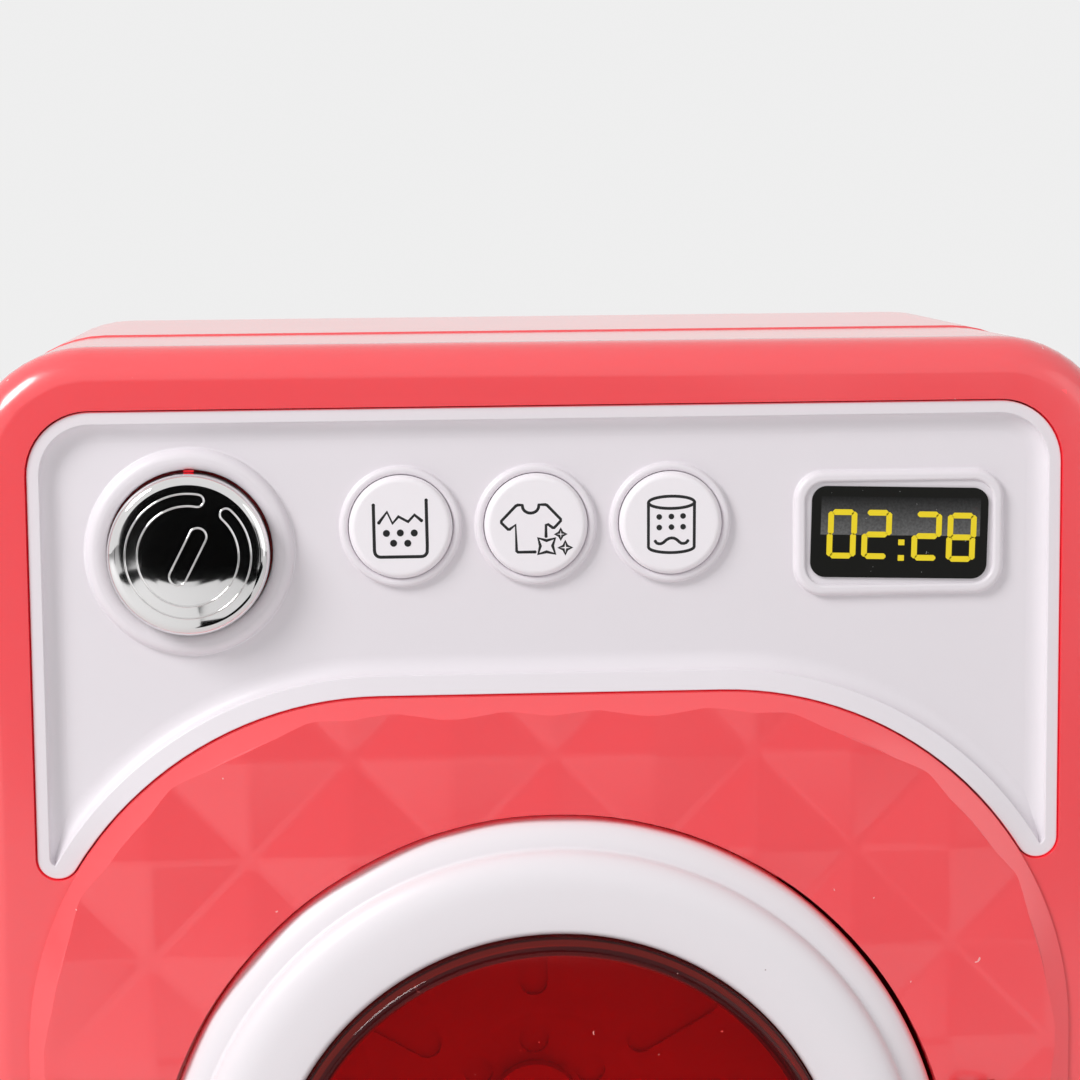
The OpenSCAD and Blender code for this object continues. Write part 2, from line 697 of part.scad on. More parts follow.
module rubber_dome(i) color("#d8d4d0") at(-button_x + i * button_pitch, button_z) turned() polygon([
    [0, board_y - dome_h], [2, board_y - dome_h], [3.7, board_y - 0.8], [4.8, board_y - 0.8],
    [4.8, board_y], [3.4, board_y], [3.2, board_y - 0.9], [1.7, board_y - dome_h + 0.7],
    [1.1, board_y - button_travel - 0.3], [0, board_y - button_travel - 0.3]]);
module wash_dome() rubber_dome(-1);
module clothes_dome() rubber_dome(0);
module program_dome() rubber_dome(1);

// ---- Electronics ----

module circuit_board() color("#2f7d4a") difference() {
    translate([-board_half, board_y, board_low]) cube([2 * board_half, board_t, board_top - board_low]);
    for (p = board_posts) at(p[0], p[1]) rod(small_screw_r + 0.15, board_y - 1, board_y + board_t + 1);
}

module board_screws() color(steel) for (p = board_posts) at(p[0], p[1])
    screw(board_y + board_t, board_screw_len, 1, small_screw_r, small_head_r, small_head_h);

module sound_chip() color("#1c1c1e") {
    at(-4, button_z + 2) turned() intersection() {
        translate([0, board_y + board_t - 7.3]) circle(9, $fn = 64);
        translate([0, board_y + board_t]) square([6, 4]);
    }
    at(18, button_z - 3) rod(2.5, board_y + board_t, board_y + board_t + 6);
}

// ---- Door ----

// Outer profile of the ring from the hollow back round to the window's opening
module door_ring() color(white) difference() {
    union() {
        at(0, door_z) difference() {
            turned() polygon(concat(
                [[door_r, door_back_y], [door_r, -rim_proud + 1.3]],
                [for (a = [15:15:90]) [door_r - 1.3 + 1.3 * cos(a), -rim_proud + 1.3 - 1.3 * sin(a)]],
                [for (a = [90:-30:0]) [shoulder_r + 0.9 - 0.9 * cos(a), -rim_proud - 0.9 + 0.9 * sin(a)]],
                [[shoulder_r, -flat_proud - crest_h + 1.9]],
                [for (a = [15:15:90]) [shoulder_r - 1.9 + 1.9 * cos(a), -flat_proud - crest_h + 1.9 - 1.9 * sin(a)]],
                [[shoulder_r - 2.6, -flat_proud - crest_h + 0.1], [shoulder_r - 4.4, -flat_proud],
                 [window_r + slide_gap, -flat_proud], [window_r + slide_gap, -flat_proud + door_t],
                 [shoulder_r - door_t, -flat_proud + door_t], [shoulder_r - door_t, door_back_y - 1.7],
                 [shoulder_r - door_t + 0.2, door_back_y - 1.7], [door_r - door_t, 0.4],
                 [door_r - door_t, door_back_y]]));
        }
        // hinge arm and barrel
        translate([door_r - 4, -flat_proud + 0.6, door_z - door_barrel / 2])
            cube([hinge_x - door_r + 4, flat_proud - surround_proud - facet_room - 0.8, door_barrel]);
        translate([hinge_x, hinge_y, door_z]) cylinder(r = barrel_r, h = door_barrel, center = true);
        door_screw_points() rod(2.4, -flat_proud + door_t - eps, door_clamp_y - 0.1);
    }
    translate([hinge_x, hinge_y, door_z])
        cylinder(r = pin_r + running_gap, h = door_barrel + 2, center = true);
    door_screw_points() rod(small_screw_r + snug_gap, -flat_proud + 0.8, door_back_y + 1);
}

// The window's rim is clamped between the ring and the back ring
window_rim = 2.2;
door_clamp_y = -flat_proud + 2 * door_t + 0.1;
door_screw_r = (window_r + window_rim + shoulder_r - door_t) / 2 + 0.2;
module door_screw_points() for (a = [45:90:315]) at(door_screw_r * cos(a), door_z + door_screw_r * sin(a)) children();

module door_window() color([0.75, 0.04, 0.05, 0.6]) at(0, door_z) turned() polygon([
    [0, -flat_proud - window_h], [window_r - 1.6, -flat_proud - window_h],
    [window_r - 0.5, -flat_proud - window_h + 0.4], [window_r, -flat_proud - window_h + 1.3],
    [window_r, -flat_proud + door_t + 0.05], [window_r + window_rim, -flat_proud + door_t + 0.05],
    [window_r + window_rim, -flat_proud + 2 * door_t], [window_r - door_t, -flat_proud + 2 * door_t],
    [window_r - door_t - 0.6, -flat_proud - window_h + door_t], [0, -flat_proud - window_h + door_t]]);

module door_back() color(white) difference() {
    union() {
        at(0, door_z) tube(shoulder_r - door_t - 0.2, window_r - 2, door_clamp_y, door_screw_seat + small_head_h);
        at(0, door_z) tube(window_r - 0.2, window_r - 2, door_clamp_y, door_back_y);
        catch_hook();
    }
    door_screw_points() {
        rod(small_screw_r + 0.15, door_clamp_y - 1, door_back_y + 1);
        rod(small_head_r + 0.3, door_screw_seat, door_back_y + 1);
    }
}
door_screw_seat = door_clamp_y + 1;

module door_screws() color(steel) door_screw_points()
    screw(door_screw_seat, door_screw_seat + flat_proud - 1.2, 1, small_screw_r, small_head_r, small_head_h - 0.2);

module hinge_pin() color(steel) translate([hinge_x, hinge_y, door_z])
    cylinder(r = pin_r, h = door_barrel + 2 * shell_barrel + 0.8, center = true);

// Snap hook of the door, and the spring clip that holds it behind the recess floor
catch_h = 7;
barb = 0.6;
clip_t = 0.5;
clip_len = 4;
clip_post = 3.4;
clip_foot = 7;
stake_r = 0.9;
module at_hook() at(-catch_x - hook_t / 2, door_z) children();
module catch_hook() at_hook() union() {
    translate([0, door_clamp_y + 0.5, -catch_h / 2])
        cube([hook_t, recess_back + 2.6 - door_clamp_y - 0.5, catch_h]);
    translate([-barb, recess_back + 1.4, -catch_h / 2]) cube([barb + hook_t / 2, 1.2, catch_h]);
}
module catch_slot() at_hook() translate([-barb - 0.9, recess_y - 1, -catch_h / 2 - 0.6])
    cube([barb + hook_t + 1.4, wall + 2, catch_h + 1.2]);
module catch_post() at_hook() {
    translate([-clip_foot, recess_back - eps, -catch_h / 2]) cube([clip_post, clip_len + eps, catch_h]);
    translate([clip_post / 2 - clip_foot, 0, 0]) rod(stake_r, recess_back, recess_back + clip_len + 1.2);
}
module door_catch() color(steel) at_hook() difference() {
    union() {
        translate([-barb - 0.8, recess_back + 0.3, -catch_h / 2]) cube([barb + 0.6, clip_t, catch_h]);
        translate([-barb - 0.8, recess_back + 0.3, -catch_h / 2]) cube([clip_t, clip_len, catch_h]);
        translate([-clip_foot, recess_back + clip_len, -catch_h / 2])
            cube([clip_foot - barb - 0.8 + clip_t, clip_t, catch_h]);
    }
    translate([clip_post / 2 - clip_foot, 0, 0]) rod(stake_r + snug_gap, recess_back, recess_back + 2 * clip_len);
}

// ---- Drum ----

slots = 6;
module drum() color("#d9d8dc") at(0, door_z) difference() {
    union() {
        tube(drum_r + drum_t, drum_r, drum_y, drum_back);
        rod(drum_r + drum_t, drum_back - drum_t, drum_back);
        rod(bush_r + 2, drum_back - drum_t - 2.6, drum_back + 2.3);
        for (a = [30:120:270]) rotate([0, -a, 0]) translate([drum_r - paddle_h, drum_y + 2, -1.6])
            cube([paddle_h + drum_t / 2, drum_len - 3, 3.2]);
    }
    rod(shaft_r + snug_gap, drum_back - drum_t - 1.4, drum_back + 3);
    for (k = [0:slots - 1]) rotate([0, -30 - k * 360 / slots, 0]) {
        at(8.9, 0) rod(2, drum_back - drum_t - 1, drum_back - drum_t + 0.7);
        slab(drum_back - drum_t - 1, drum_back - drum_t + 0.7) translate([22, 0]) rounded(14, 3.8, 1.89);
    }
}

module drum_shaft() color(steel) at(0, door_z) difference() {
    rod(shaft_r, drum_back - drum_t - 1.3, shaft_end);
    tube(shaft_r + 1, shaft_r - 0.5, shaft_end - 1.6, shaft_end - 0.8);
}

module drum_gear() color(white) at(0, door_z) difference() {
    union() {
        large_gear(module_c, y_c, face_c);
        rod(shaft_r + 2, gears_y + 1.2, y_c + eps);
    }
    rod(shaft_r + snug_gap, gears_y, cover_y);
}

module shaft_clip() color(steel) at(0, door_z) difference() {
    tube(shaft_r + 1.6, shaft_r - 0.45, shaft_end - 1.55, shaft_end - 0.85);
    translate([-1, shaft_end - 3, -shaft_r - 3]) cube([2, 4, shaft_r + 3]);
}

module bush(y0, y1, flange_y) at(0, door_z) difference() {
    union() {
        rod(bush_r, y0, y1);
        rod(bush_r + 1.2, flange_y, flange_y + 0.5);
    }
    rod(shaft_r + running_gap, y0 - 1, y1 + 1);
}
module front_bush() color(brass) bush(case_y, gears_y + 0.6, gears_y + 0.1);
module rear_bush() color(brass) bush(cover_y - 0.5, cover_y + cover_t, cover_y - 0.55);

// ---- Gearbox ----

case_wall = 1.6;
module case_outline(grow) {
    translate([0, door_z]) circle(large_teeth * module_c / 2 + 1.5 + grow);
    translate([0, gear2_z]) circle(large_teeth * module_b / 2 + 1.3 + grow);
    translate([0, gear1_z]) circle(large_teeth * module_a / 2 + 1.2 + grow);
    translate([0, motor_z]) circle(small_teeth * module_a / 2 + 1.6 + grow);
}
module ear_points() for (p = [ear_low, ear_high], s = [-1, 1]) at(s * p[1], p[0]) children();
module post_points() for (p = [post_low, post_high], s = [-1, 1]) at(s * p[1], p[0]) children();

module gearbox_plate() color(white) difference() {
    union() {
        slab(case_y, gears_y) {
            case_outline(case_wall);
            for (p = [post_low, post_high, ear_high]) {
                translate([0, p[0]]) square([2 * p[1], 2 * boss_r], center = true);
                for (s = [-1, 1]) translate([s * p[1], p[0]]) circle(boss_r);
            }
        }
    }
    at(0, door_z) rod(bush_r + snug_gap, case_y - 1, gears_y + 1);
    at(0, motor_z) rod(3.1, case_y - 1, gears_y + 1);
    for (z = [gear2_z, gear1_z]) at(0, z) rod(gear_pin_r + snug_gap, case_y + 0.7, gears_y + 1);
    ear_points() rod(screw_r + 0.15, case_y - 1, gears_y + 1);
    post_points() rod(screw_r + 0.15, case_y - 1, gears_y + 1);
    both_sides() at(clamp_x, motor_z) rod(small_screw_r + snug_gap, case_y - 3, case_y + 1.8);
}

module gearbox_cover() color(white) difference() {
    union() {
        slab(gears_y + 0.05, cover_y + cover_t) {
            case_outline(case_wall);
            for (p = [ear_low, ear_high]) {
                translate([0, p[0]]) square([2 * p[1], 2 * ear_r], center = true);
                for (s = [-1, 1]) translate([s * p[1], p[0]]) circle(ear_r);
            }
        }
    }
    slab(gears_y - 1, cover_y) case_outline(0);
    at(0, door_z) rod(bush_r + snug_gap, cover_y - 1, cover_y + cover_t + 1);
    for (z = [gear2_z, gear1_z]) at(0, z) rod(gear_pin_r + snug_gap, cover_y - 1, cover_y + cover_t - 0.7);
    ear_points() rod(screw_r + snug_gap, gears_y - 1, gears_y + pilot_len);
}

module gearbox_screws() color(steel) {
    ear_points() screw(case_y, plate_t + 8, -1);
    post_points() screw(case_y, plate_t + 8, -1);
}

module second_gear() color("#e9e2cf") at(0, gear2_z) difference() {
    union() {
        large_gear(module_b, y_b, face_b);
        small_gear(module_c, y_b + face_b - eps, face_c + gear_gap + eps);
        rod(gear_pin_r + 1.2, gears_y + 0.2, y_b + eps);
    }
    rod(gear_pin_r + running_gap, gears_y, cover_y);
}

module first_gear() color("#e9e2cf") at(0, gear1_z) difference() {
    union() {
        large_gear(module_a, y_a, face_a);
        small_gear(module_b, y_a + face_a - eps, face_b + gear_gap + eps);
        rod(gear_pin_r + 1.2, y_b + face_b - eps, cover_y - 0.2);
    }
    rod(gear_pin_r + running_gap, gears_y, cover_y);
}

module gear_pins() color(steel) for (z = [gear2_z, gear1_z]) at(0, z)
    rod(gear_pin_r, case_y + 0.8, cover_y + cover_t - 0.8);

// ---- Motor ----

clamp_x = motor_r + 6.5;
module motor_outline(grow) intersection() {
    circle(motor_r + grow);
    square([2 * (motor_r + grow), motor_flat + 2 * grow], center = true);
}
module motor_pinion() color(brass) at(0, motor_z) difference() {
    small_gear(module_a, y_a, face_a);
    rod(motor_shaft_r + snug_gap, gears_y, cover_y);
}
module motor_shaft() color(steel) at(0, motor_z) rod(motor_shaft_r, case_y - 2, y_a + face_a);
module motor_can() color(steel) at(0, motor_z) difference() {
    union() {
        slab(motor_front, case_y) motor_outline(0);
        rod(3, case_y - eps, case_y + 1.6);
    }
    rod(motor_shaft_r + running_gap, case_y - 2.2, case_y + 3);
}
module motor_endcap() color("#e8e6e0") at(0, motor_z) {
    slab(motor_front - endcap_t, motor_front) motor_outline(-0.2);
    for (s = [-1, 1]) translate([s * 5 - 1, motor_front - endcap_t - 2, 1.4]) cube([2, 2 + eps, 0.5]);
}
module motor_clamp() color(steel) at(0, motor_z) difference() {
    slab(case_y - clamp_w, case_y) {
        motor_outline(running_gap + clamp_t);
        square([2 * clamp_x, 6], center = true);
        for (s = [-1, 1]) translate([s * clamp_x, 0]) circle(3);
    }
    slab(case_y - clamp_w - 1, case_y + 1) motor_outline(running_gap);
    both_sides() at(clamp_x, 0) rod(small_screw_r + 0.15, case_y - clamp_w - 1, case_y + 1);
}
module clamp_screws() color(steel) both_sides() at(clamp_x, motor_z)
    screw(case_y - clamp_w, clamp_w + 1.6, -1, small_screw_r, small_head_r, small_head_h);

// ---- Loudspeaker ----

module speaker() color("#3a3a3e") at(speaker_x, speaker_z) turned() polygon([
    [0, rear_in - 2.4], [speaker_r - 3, rear_in - 0.4], [speaker_r - 2.4, rear_in], [speaker_r, rear_in],
    [speaker_r, rear_in - 1.2], [speaker_r - 3.2, rear_in - 1.2], [magnet_r, rear_in - 3.4],
    [magnet_r, rear_in - magnet_back], [0, rear_in - magnet_back]]);
module speaker_clamp() color(white) at(speaker_x, speaker_z) difference() {
    slab(rear_in - 2.4, rear_in - 1.25) {
        circle(speaker_r + slide_gap + seat_wall);
        square([2 * speaker_ear, 2 * speaker_boss_r], center = true);
        for (s = [-1, 1]) translate([s * speaker_ear, 0]) circle(speaker_boss_r);
    }
    rod(speaker_r - 2, rear_in - 3, rear_in);
    for (s = [-1, 1]) at(s * speaker_ear, 0) rod(small_screw_r + 0.15, rear_in - 3, rear_in);
}
module speaker_screws() color(steel) for (s = [-1, 1]) at(speaker_x + s * speaker_ear, speaker_z)
    screw(rear_in - 2.4, speaker_screw_len, -1, small_screw_r, small_head_r, small_head_h);

// ---- Batteries ----

cell_y = bay_y + 0.3 + cell_d / 2;
module battery(i) color(i % 2 == 0 ? "#3f4a55" : "#56616c")
    translate([i % 2 == 0 ? -contact_lean : contact_lean, cell_y, cell_z(i)])
        rotate([0, i % 2 == 0 ? -90 : 90, 0]) union() {
            translate([0, 0, -cell_l / 2]) cylinder(r = cell_d / 2, h = cell_l - 1.2);
            translate([0, 0, cell_l / 2 - 1.3]) cylinder(r = 2.7, h = 1.3);
        }
contact_lean = bay_half - contact_t - cell_l / 2 - 0.1;
module battery_low() battery(0);
module battery_middle() battery(1);
module battery_high() battery(2);

module contact_plates() color(steel) {
    for (s = [-1, 1], i = [0:2]) translate([s > 0 ? bay_half - contact_t : -bay_half, cell_y - 5, cell_z(i) - 5.5])
        cube([contact_t, contact_h, contact_w]);
}
module contact_springs() color(steel) for (i = [0:2]) {
    side = i % 2 == 0 ? 1 : -1;
    gap = 2 * bay_half - 2 * contact_t - cell_l - 0.1;
    translate([side * (bay_half - contact_t), cell_y, cell_z(i)]) rotate([0, 0, side * 90])
        coil(contact_coil_r, contact_tip_r, 0, gap, 3, 0.35);
}

module battery_cover() color(coral) difference() {
    union() {
        translate([-cover_half + slide_gap, bay_back + 0.05, cover_low + slide_gap])
            cube([2 * (cover_half - slide_gap), cover_skin - 0.05, cover_high - cover_low - 2 * slide_gap]);
        for (s = [-1, 1]) translate([s * tab_x - 2, bay_back - 2.8, bay_low - 1.55])
            cube([4, 3, 1.2]);
    }
    at(0, cover_screw_z) {
        rod(screw_r + 0.2, bay_back - 1, body_d + 1);
        rod(screw_head_r + 0.2, cover_seat_y, body_d + 1);
    }
    // finger grooves
    for (i = [-1:1]) translate([-8, body_d - 0.6, bay_low + 8 + 3 * i]) cube([16, 1, 1.4]);
}
cover_seat_y = body_d - 1.2;
module cover_screw() color(steel) at(0, cover_screw_z)
    screw(cover_seat_y, cover_seat_y - bay_back + cover_screw_len, 1, screw_r, screw_head_r, 1.1);

// ---- The whole toy ----

in_frame() front_shell();
in_frame() rear_shell();
in_frame() shell_screws();
in_frame() feet();
in_frame() control_panel();
in_frame() panel_screws();
in_frame() display_label();
in_frame() power_knob();
in_frame() knob_screw();
in_frame() power_plunger();
in_frame() power_spring();
in_frame() power_switch();
in_frame() switch_pin();
in_frame() wash_button();
in_frame() clothes_button();
in_frame() program_button();
in_frame() wash_dome();
in_frame() clothes_dome();
in_frame() program_dome();
in_frame() circuit_board();
in_frame() board_screws();
in_frame() sound_chip();
in_frame() door_ring();
in_frame() door_window();
in_frame() door_back();
in_frame() door_screws();
in_frame() hinge_pin();
in_frame() door_catch();
in_frame() drum();
in_frame() drum_shaft();
in_frame() drum_gear();
in_frame() shaft_clip();
in_frame() front_bush();
in_frame() rear_bush();
in_frame() gearbox_plate();
in_frame() gearbox_cover();
in_frame() gearbox_screws();
in_frame() second_gear();
in_frame() first_gear();
in_frame() gear_pins();
in_frame() motor_pinion();
in_frame() motor_shaft();
in_frame() motor_can();
in_frame() motor_endcap();
in_frame() motor_clamp();
in_frame() clamp_screws();
in_frame() speaker();
in_frame() speaker_clamp();
in_frame() speaker_screws();
in_frame() battery_low();
in_frame() battery_middle();
in_frame() battery_high();
in_frame() contact_plates();
in_frame() contact_springs();
in_frame() battery_cover();
in_frame() cover_screw();
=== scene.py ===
# %% [markdown]
# # A toy washing machine
#
# A small play washing machine: a glossy coral cabinet, a white control panel let into its
# front, a chromed power knob, three push buttons, a printed label display and a round white
# door with a clear red window over a drum.
#
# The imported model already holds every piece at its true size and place. These cells keep
# those shapes, join their corners so that light runs smoothly over them, add the moulded
# detail that is finer than the engineering model, and give every piece its finish.

# %% Load the frame
import json
import math

import bpy
from mathutils import Matrix, Vector


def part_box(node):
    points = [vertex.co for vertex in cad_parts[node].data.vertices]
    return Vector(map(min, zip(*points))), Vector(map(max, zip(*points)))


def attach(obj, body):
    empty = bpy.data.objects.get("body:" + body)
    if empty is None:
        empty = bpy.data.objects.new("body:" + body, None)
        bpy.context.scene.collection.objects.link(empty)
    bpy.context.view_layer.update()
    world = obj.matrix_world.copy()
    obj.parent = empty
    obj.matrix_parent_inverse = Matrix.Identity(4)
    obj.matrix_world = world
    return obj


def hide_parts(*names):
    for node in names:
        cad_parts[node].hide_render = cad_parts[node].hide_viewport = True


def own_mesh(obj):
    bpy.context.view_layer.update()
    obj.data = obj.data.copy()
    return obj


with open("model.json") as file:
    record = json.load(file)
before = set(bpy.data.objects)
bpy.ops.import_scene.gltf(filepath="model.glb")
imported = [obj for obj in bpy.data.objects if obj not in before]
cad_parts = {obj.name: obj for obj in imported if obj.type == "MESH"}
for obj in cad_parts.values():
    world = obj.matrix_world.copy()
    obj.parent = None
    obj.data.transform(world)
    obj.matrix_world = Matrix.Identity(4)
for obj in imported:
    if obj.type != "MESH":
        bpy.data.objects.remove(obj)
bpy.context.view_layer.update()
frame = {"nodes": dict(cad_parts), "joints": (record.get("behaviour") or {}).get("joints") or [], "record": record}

record = frame["record"]
mm = 0.001

# %% [markdown]
# ## Places that everything hangs on
#
# The front face of the cabinet is the plane that all depths are counted from. Its place
# follows from the back of the rear shell, and the axes of the knob, the buttons, the display
# and the door follow from their own nodes, so nothing has to be fitted by eye.

# %% Datums
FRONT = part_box("rear_shell")[1].y - 80 * mm


def middle(node):
    """Middle of a node's box, at rest."""
    low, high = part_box(node)
    return (low + high) / 2


def at(x, y, z):
    """A point from millimetres: x and z as they are, y counted back from the front face."""
    return Vector((x * mm, FRONT + y * mm, z * mm))


DOOR = middle("door_window")
KNOB = middle("power_knob")
LABEL = middle("display_label")
KEYS = ("wash_button", "clothes_button", "program_button")
BUTTONS = [middle(key) for key in KEYS]
print("door axis", DOOR, "knob axis", KNOB)

# %% [markdown]
# ## Camera
#
# The camera looks slightly down and from the left at the upper half of the front, close
# enough that the lower half lies outside the picture. Its three axes are written out as a
# matrix: right, up and the direction it looks back along.

# %% Camera
yaw, pitch, roll = 0.062, 0.1183, -0.009
ahead = Vector((math.sin(yaw) * math.cos(pitch), math.cos(yaw) * math.cos(pitch), -math.sin(pitch)))
level = Vector((math.cos(yaw), -math.sin(yaw), 0))
above = level.cross(ahead)
right = level * math.cos(roll) + above * math.sin(roll)
up = above * math.cos(roll) - level * math.sin(roll)
scene = bpy.context.scene


def new_object(name, data):
    """A new object in the scene that holds this mesh, curve, lamp or camera."""
    thing = bpy.data.objects.new(name, data)
    scene.collection.objects.link(thing)
    return thing


lens_data = bpy.data.cameras.new("camera")
lens_data.sensor_width = 36
lens_data.lens = 97.99
lens_data.clip_start = 0.01
camera = new_object("camera", lens_data)
turn = Matrix((right, up, -ahead)).transposed().to_4x4()
camera.matrix_world = Matrix.Translation(at(-22.9, -349.5, 201)) @ turn
scene.camera = camera
print("camera at", camera.location)

# %% [markdown]
# ## Working by hand in code
#
# The operators act on whatever is selected, just as they do for a person at the screen. These
# few helpers select one object, open it in edit mode, pick faces or edges by where they are,
# and close it again.

# %% Helpers for editing


def deselect():
    bpy.ops.object.select_all(action="DESELECT")


def only(piece):
    """Selects this object and nothing else."""
    deselect()
    piece.select_set(True)
    bpy.context.view_layer.objects.active = piece


def open_edit(piece, mode="FACE", whole=False):
    """Opens a piece in edit mode, with nothing or all of it selected."""
    only(piece)
    bpy.ops.object.mode_set(mode="EDIT")
    bpy.ops.mesh.select_mode(type=mode)
    bpy.ops.mesh.select_all(action="SELECT" if whole else "DESELECT")


def close_edit():
    bpy.ops.object.mode_set(mode="OBJECT")


def weld(distance=2e-6):
    """Merges the selected corners that lie on one another."""
    bpy.ops.mesh.remove_doubles(threshold=distance)


def face_outwards():
    """Turns every face outwards and closes edit mode."""
    bpy.ops.mesh.select_all(action="SELECT")
    bpy.ops.mesh.normals_make_consistent(inside=False)
    close_edit()


def bevel(width, segments, clamp=False):
    """Bevels the selected edges by a width in millimetres."""
    bpy.ops.mesh.bevel(offset=width * mm, segments=segments, affect="EDGES", clamp_overlap=clamp)


def run_of(mesh, edge):
    """The middle of an edge and its direction."""
    a, b = (mesh.vertices[i].co for i in edge.vertices)
    return (a + b) / 2, (b - a).normalized()


def pick(piece, test, kind="FACE"):
    """Selects the faces or edges whose middle, and normal or direction, pass the test."""
    mesh = piece.data
    bpy.ops.object.mode_set(mode="OBJECT")
    for part in (mesh.vertices, mesh.edges, mesh.polygons):
        part.foreach_set("select", [False] * len(part))
    for part in mesh.polygons if kind == "FACE" else mesh.edges:
        part.select = bool(test(*(part.center, part.normal) if kind == "FACE" else run_of(mesh, part)))
    bpy.ops.object.mode_set(mode="EDIT")
    bpy.ops.mesh.select_mode(type=kind)


def bevel_depth_edges(piece, width, segments):
    """Opens a block and bevels the four edges that run along the depth."""
    open_edit(piece, "EDGE")
    pick(piece, lambda c, d: abs(d.y) > 0.9, "EDGE")
    bevel(width, segments)


def report(label, piece):
    """Prints what a piece has come to."""
    size = [round(v / mm, 2) for v in piece.dimensions]
    print(label + ":", len(piece.data.polygons), "faces,", size, "mm")


def join_into(piece, *others):
    """Joins other objects into a piece, which keeps its name."""
    only(piece)
    for other in others:
        other.select_set(True)
    bpy.ops.object.join()
    return piece


def apply_modifier(piece, kind, **settings):
    """Adds a modifier, sets it up and applies it at once."""
    only(piece)
    bpy.ops.object.modifier_add(type=kind)
    modifier = piece.modifiers[-1]
    for key, value in settings.items():
        setattr(modifier, key, value)
    bpy.ops.object.modifier_apply(modifier=modifier.name)


def settle(piece):
    """Moves an object's place into its mesh, so that it sits at the origin, unturned."""
    only(piece)
    bpy.ops.object.transform_apply(location=True, rotation=True, scale=True)


def smooth(piece, angle=30, weighted=True):
    """Light runs over soft bends, and breaks at corners sharper than the angle."""
    only(piece)
    bpy.ops.object.shade_smooth_by_angle(angle=math.radians(angle))
    if weighted:
        apply_modifier(piece, "WEIGHTED_NORMAL", keep_sharp=True)


# %% [markdown]
# ## Effects that several finishes share
#
# Injection-moulded plastic is never quite even: its gloss wanders a little, and a fine
# orange-peel texture follows from the polish of the mould. Handling adds tiny pale flecks of
# dust. Each effect could be drawn anew in every finish; as a node group it is made once.

# %% Helpers for nodes


def feed(node, **values):
    """Feeds inputs by name or number: a plain value, an output, or a node's first output."""
    for label, value in values.items():
        socket = node.inputs[int(label) if label.isdigit() else label.replace("_", " ")]
        if isinstance(value, bpy.types.Node):
            value = value.outputs[0]
        if isinstance(value, bpy.types.NodeSocket):
            node.id_data.links.new(value, socket)
        else:
            socket.default_value = value


def add(tree, kind, **settings):
    """A node with its settings; those that start with in_ feed its inputs."""
    node = tree.nodes.new("ShaderNode" + kind)
    for key, value in settings.items():
        if key.startswith("in_"):
            feed(node, **{key[3:]: value})
        else:
            setattr(node, key, value)
    return node


def math_of(tree, operation, first, second):
    """One step of arithmetic."""
    return add(tree, "Math", operation=operation, in_0=first, in_1=second)


def within(tree, value, low, high):
    """1 where a value lies between two limits, elsewhere 0."""
    above_low = math_of(tree, "GREATER_THAN", value, low)
    return math_of(tree, "MULTIPLY", above_low, math_of(tree, "LESS_THAN", value, high))


def rescale(tree, value, low, high, start=0.3, stop=0.7):
    """Maps a value from the range between start and stop onto the one between low and high."""
    return add(tree, "MapRange", in_Value=value, in_From_Min=start, in_From_Max=stop,
               in_To_Min=low, in_To_Max=high)


def blend(tree, factor, first, second):
    """Mixes two colours."""
    return add(tree, "Mix", data_type="RGBA", in_Factor=factor, in_6=first, in_7=second).outputs[2]


def drifting(tree, wander, colour, down, up):
    """A colour that drifts between a darker and a lighter tone, given as factors."""
    tones = [tuple(min(1, c * factor) for c in colour) + (1,) for factor in (down, up)]
    return blend(tree, wander, *tones)


def new_material(name):
    """A fresh finish: the material, its tree, its shader and the place of each point."""
    material = bpy.data.materials.new(name)
    material.use_nodes = True
    tree = material.node_tree
    return material, tree, tree.nodes["Principled BSDF"], add(tree, "TexCoord").outputs["Object"]


# %% Node groups


def new_group(name, values, outputs):
    """A node group that takes a place and some numbers, and gives numbers."""
    group = bpy.data.node_groups.new(name, "ShaderNodeTree")
    group.interface.new_socket("Vector", in_out="INPUT", socket_type="NodeSocketVector")
    for label, value in values.items():
        socket = group.interface.new_socket(label, in_out="INPUT", socket_type="NodeSocketFloat")
        socket.default_value = value
    for label in outputs:
        group.interface.new_socket(label, in_out="OUTPUT", socket_type="NodeSocketFloat")
    return group, group.nodes.new("NodeGroupInput").outputs, group.nodes.new("NodeGroupOutput")


# orange peel as a height, and a slow wander as a value between 0 and 1
MOULD, given, end = new_group("mould_texture", {"Peel Scale": 900.0, "Wander Scale": 60.0},
                              ("Height", "Wander"))
place = given["Vector"]
peel = add(MOULD, "TexNoise", in_Vector=place, in_Scale=given["Peel Scale"], in_Detail=2.0)
wander = add(MOULD, "TexNoise", in_Vector=place, in_Scale=given["Wander Scale"], in_Detail=3.0)
feed(end, Height=peel, Wander=wander)

# a mask of sparse specks: only cells whose random value is low enough hold one
FLECKS, given, end = new_group("flecks", {"Scale": 300.0, "Share": 0.02, "Size": 0.12}, ("Mask",))
place = given["Vector"]
wobble = add(FLECKS, "TexNoise", in_Vector=place, in_Scale=700.0).outputs["Color"]
shaken = add(FLECKS, "VectorMath", operation="SCALE", in_0=wobble, in_Scale=0.0022)
moved = add(FLECKS, "VectorMath", in_0=place, in_1=shaken)
specks = add(FLECKS, "TexVoronoi", in_Vector=moved, in_Scale=given["Scale"])
near = math_of(FLECKS, "LESS_THAN", specks, given["Size"])
chance = add(FLECKS, "SeparateColor", in_Color=specks.outputs["Color"])
rare = math_of(FLECKS, "LESS_THAN", chance, given["Share"])
feed(end, Mask=math_of(FLECKS, "MULTIPLY", near, rare))
print("groups:", [g.name for g in bpy.data.node_groups])


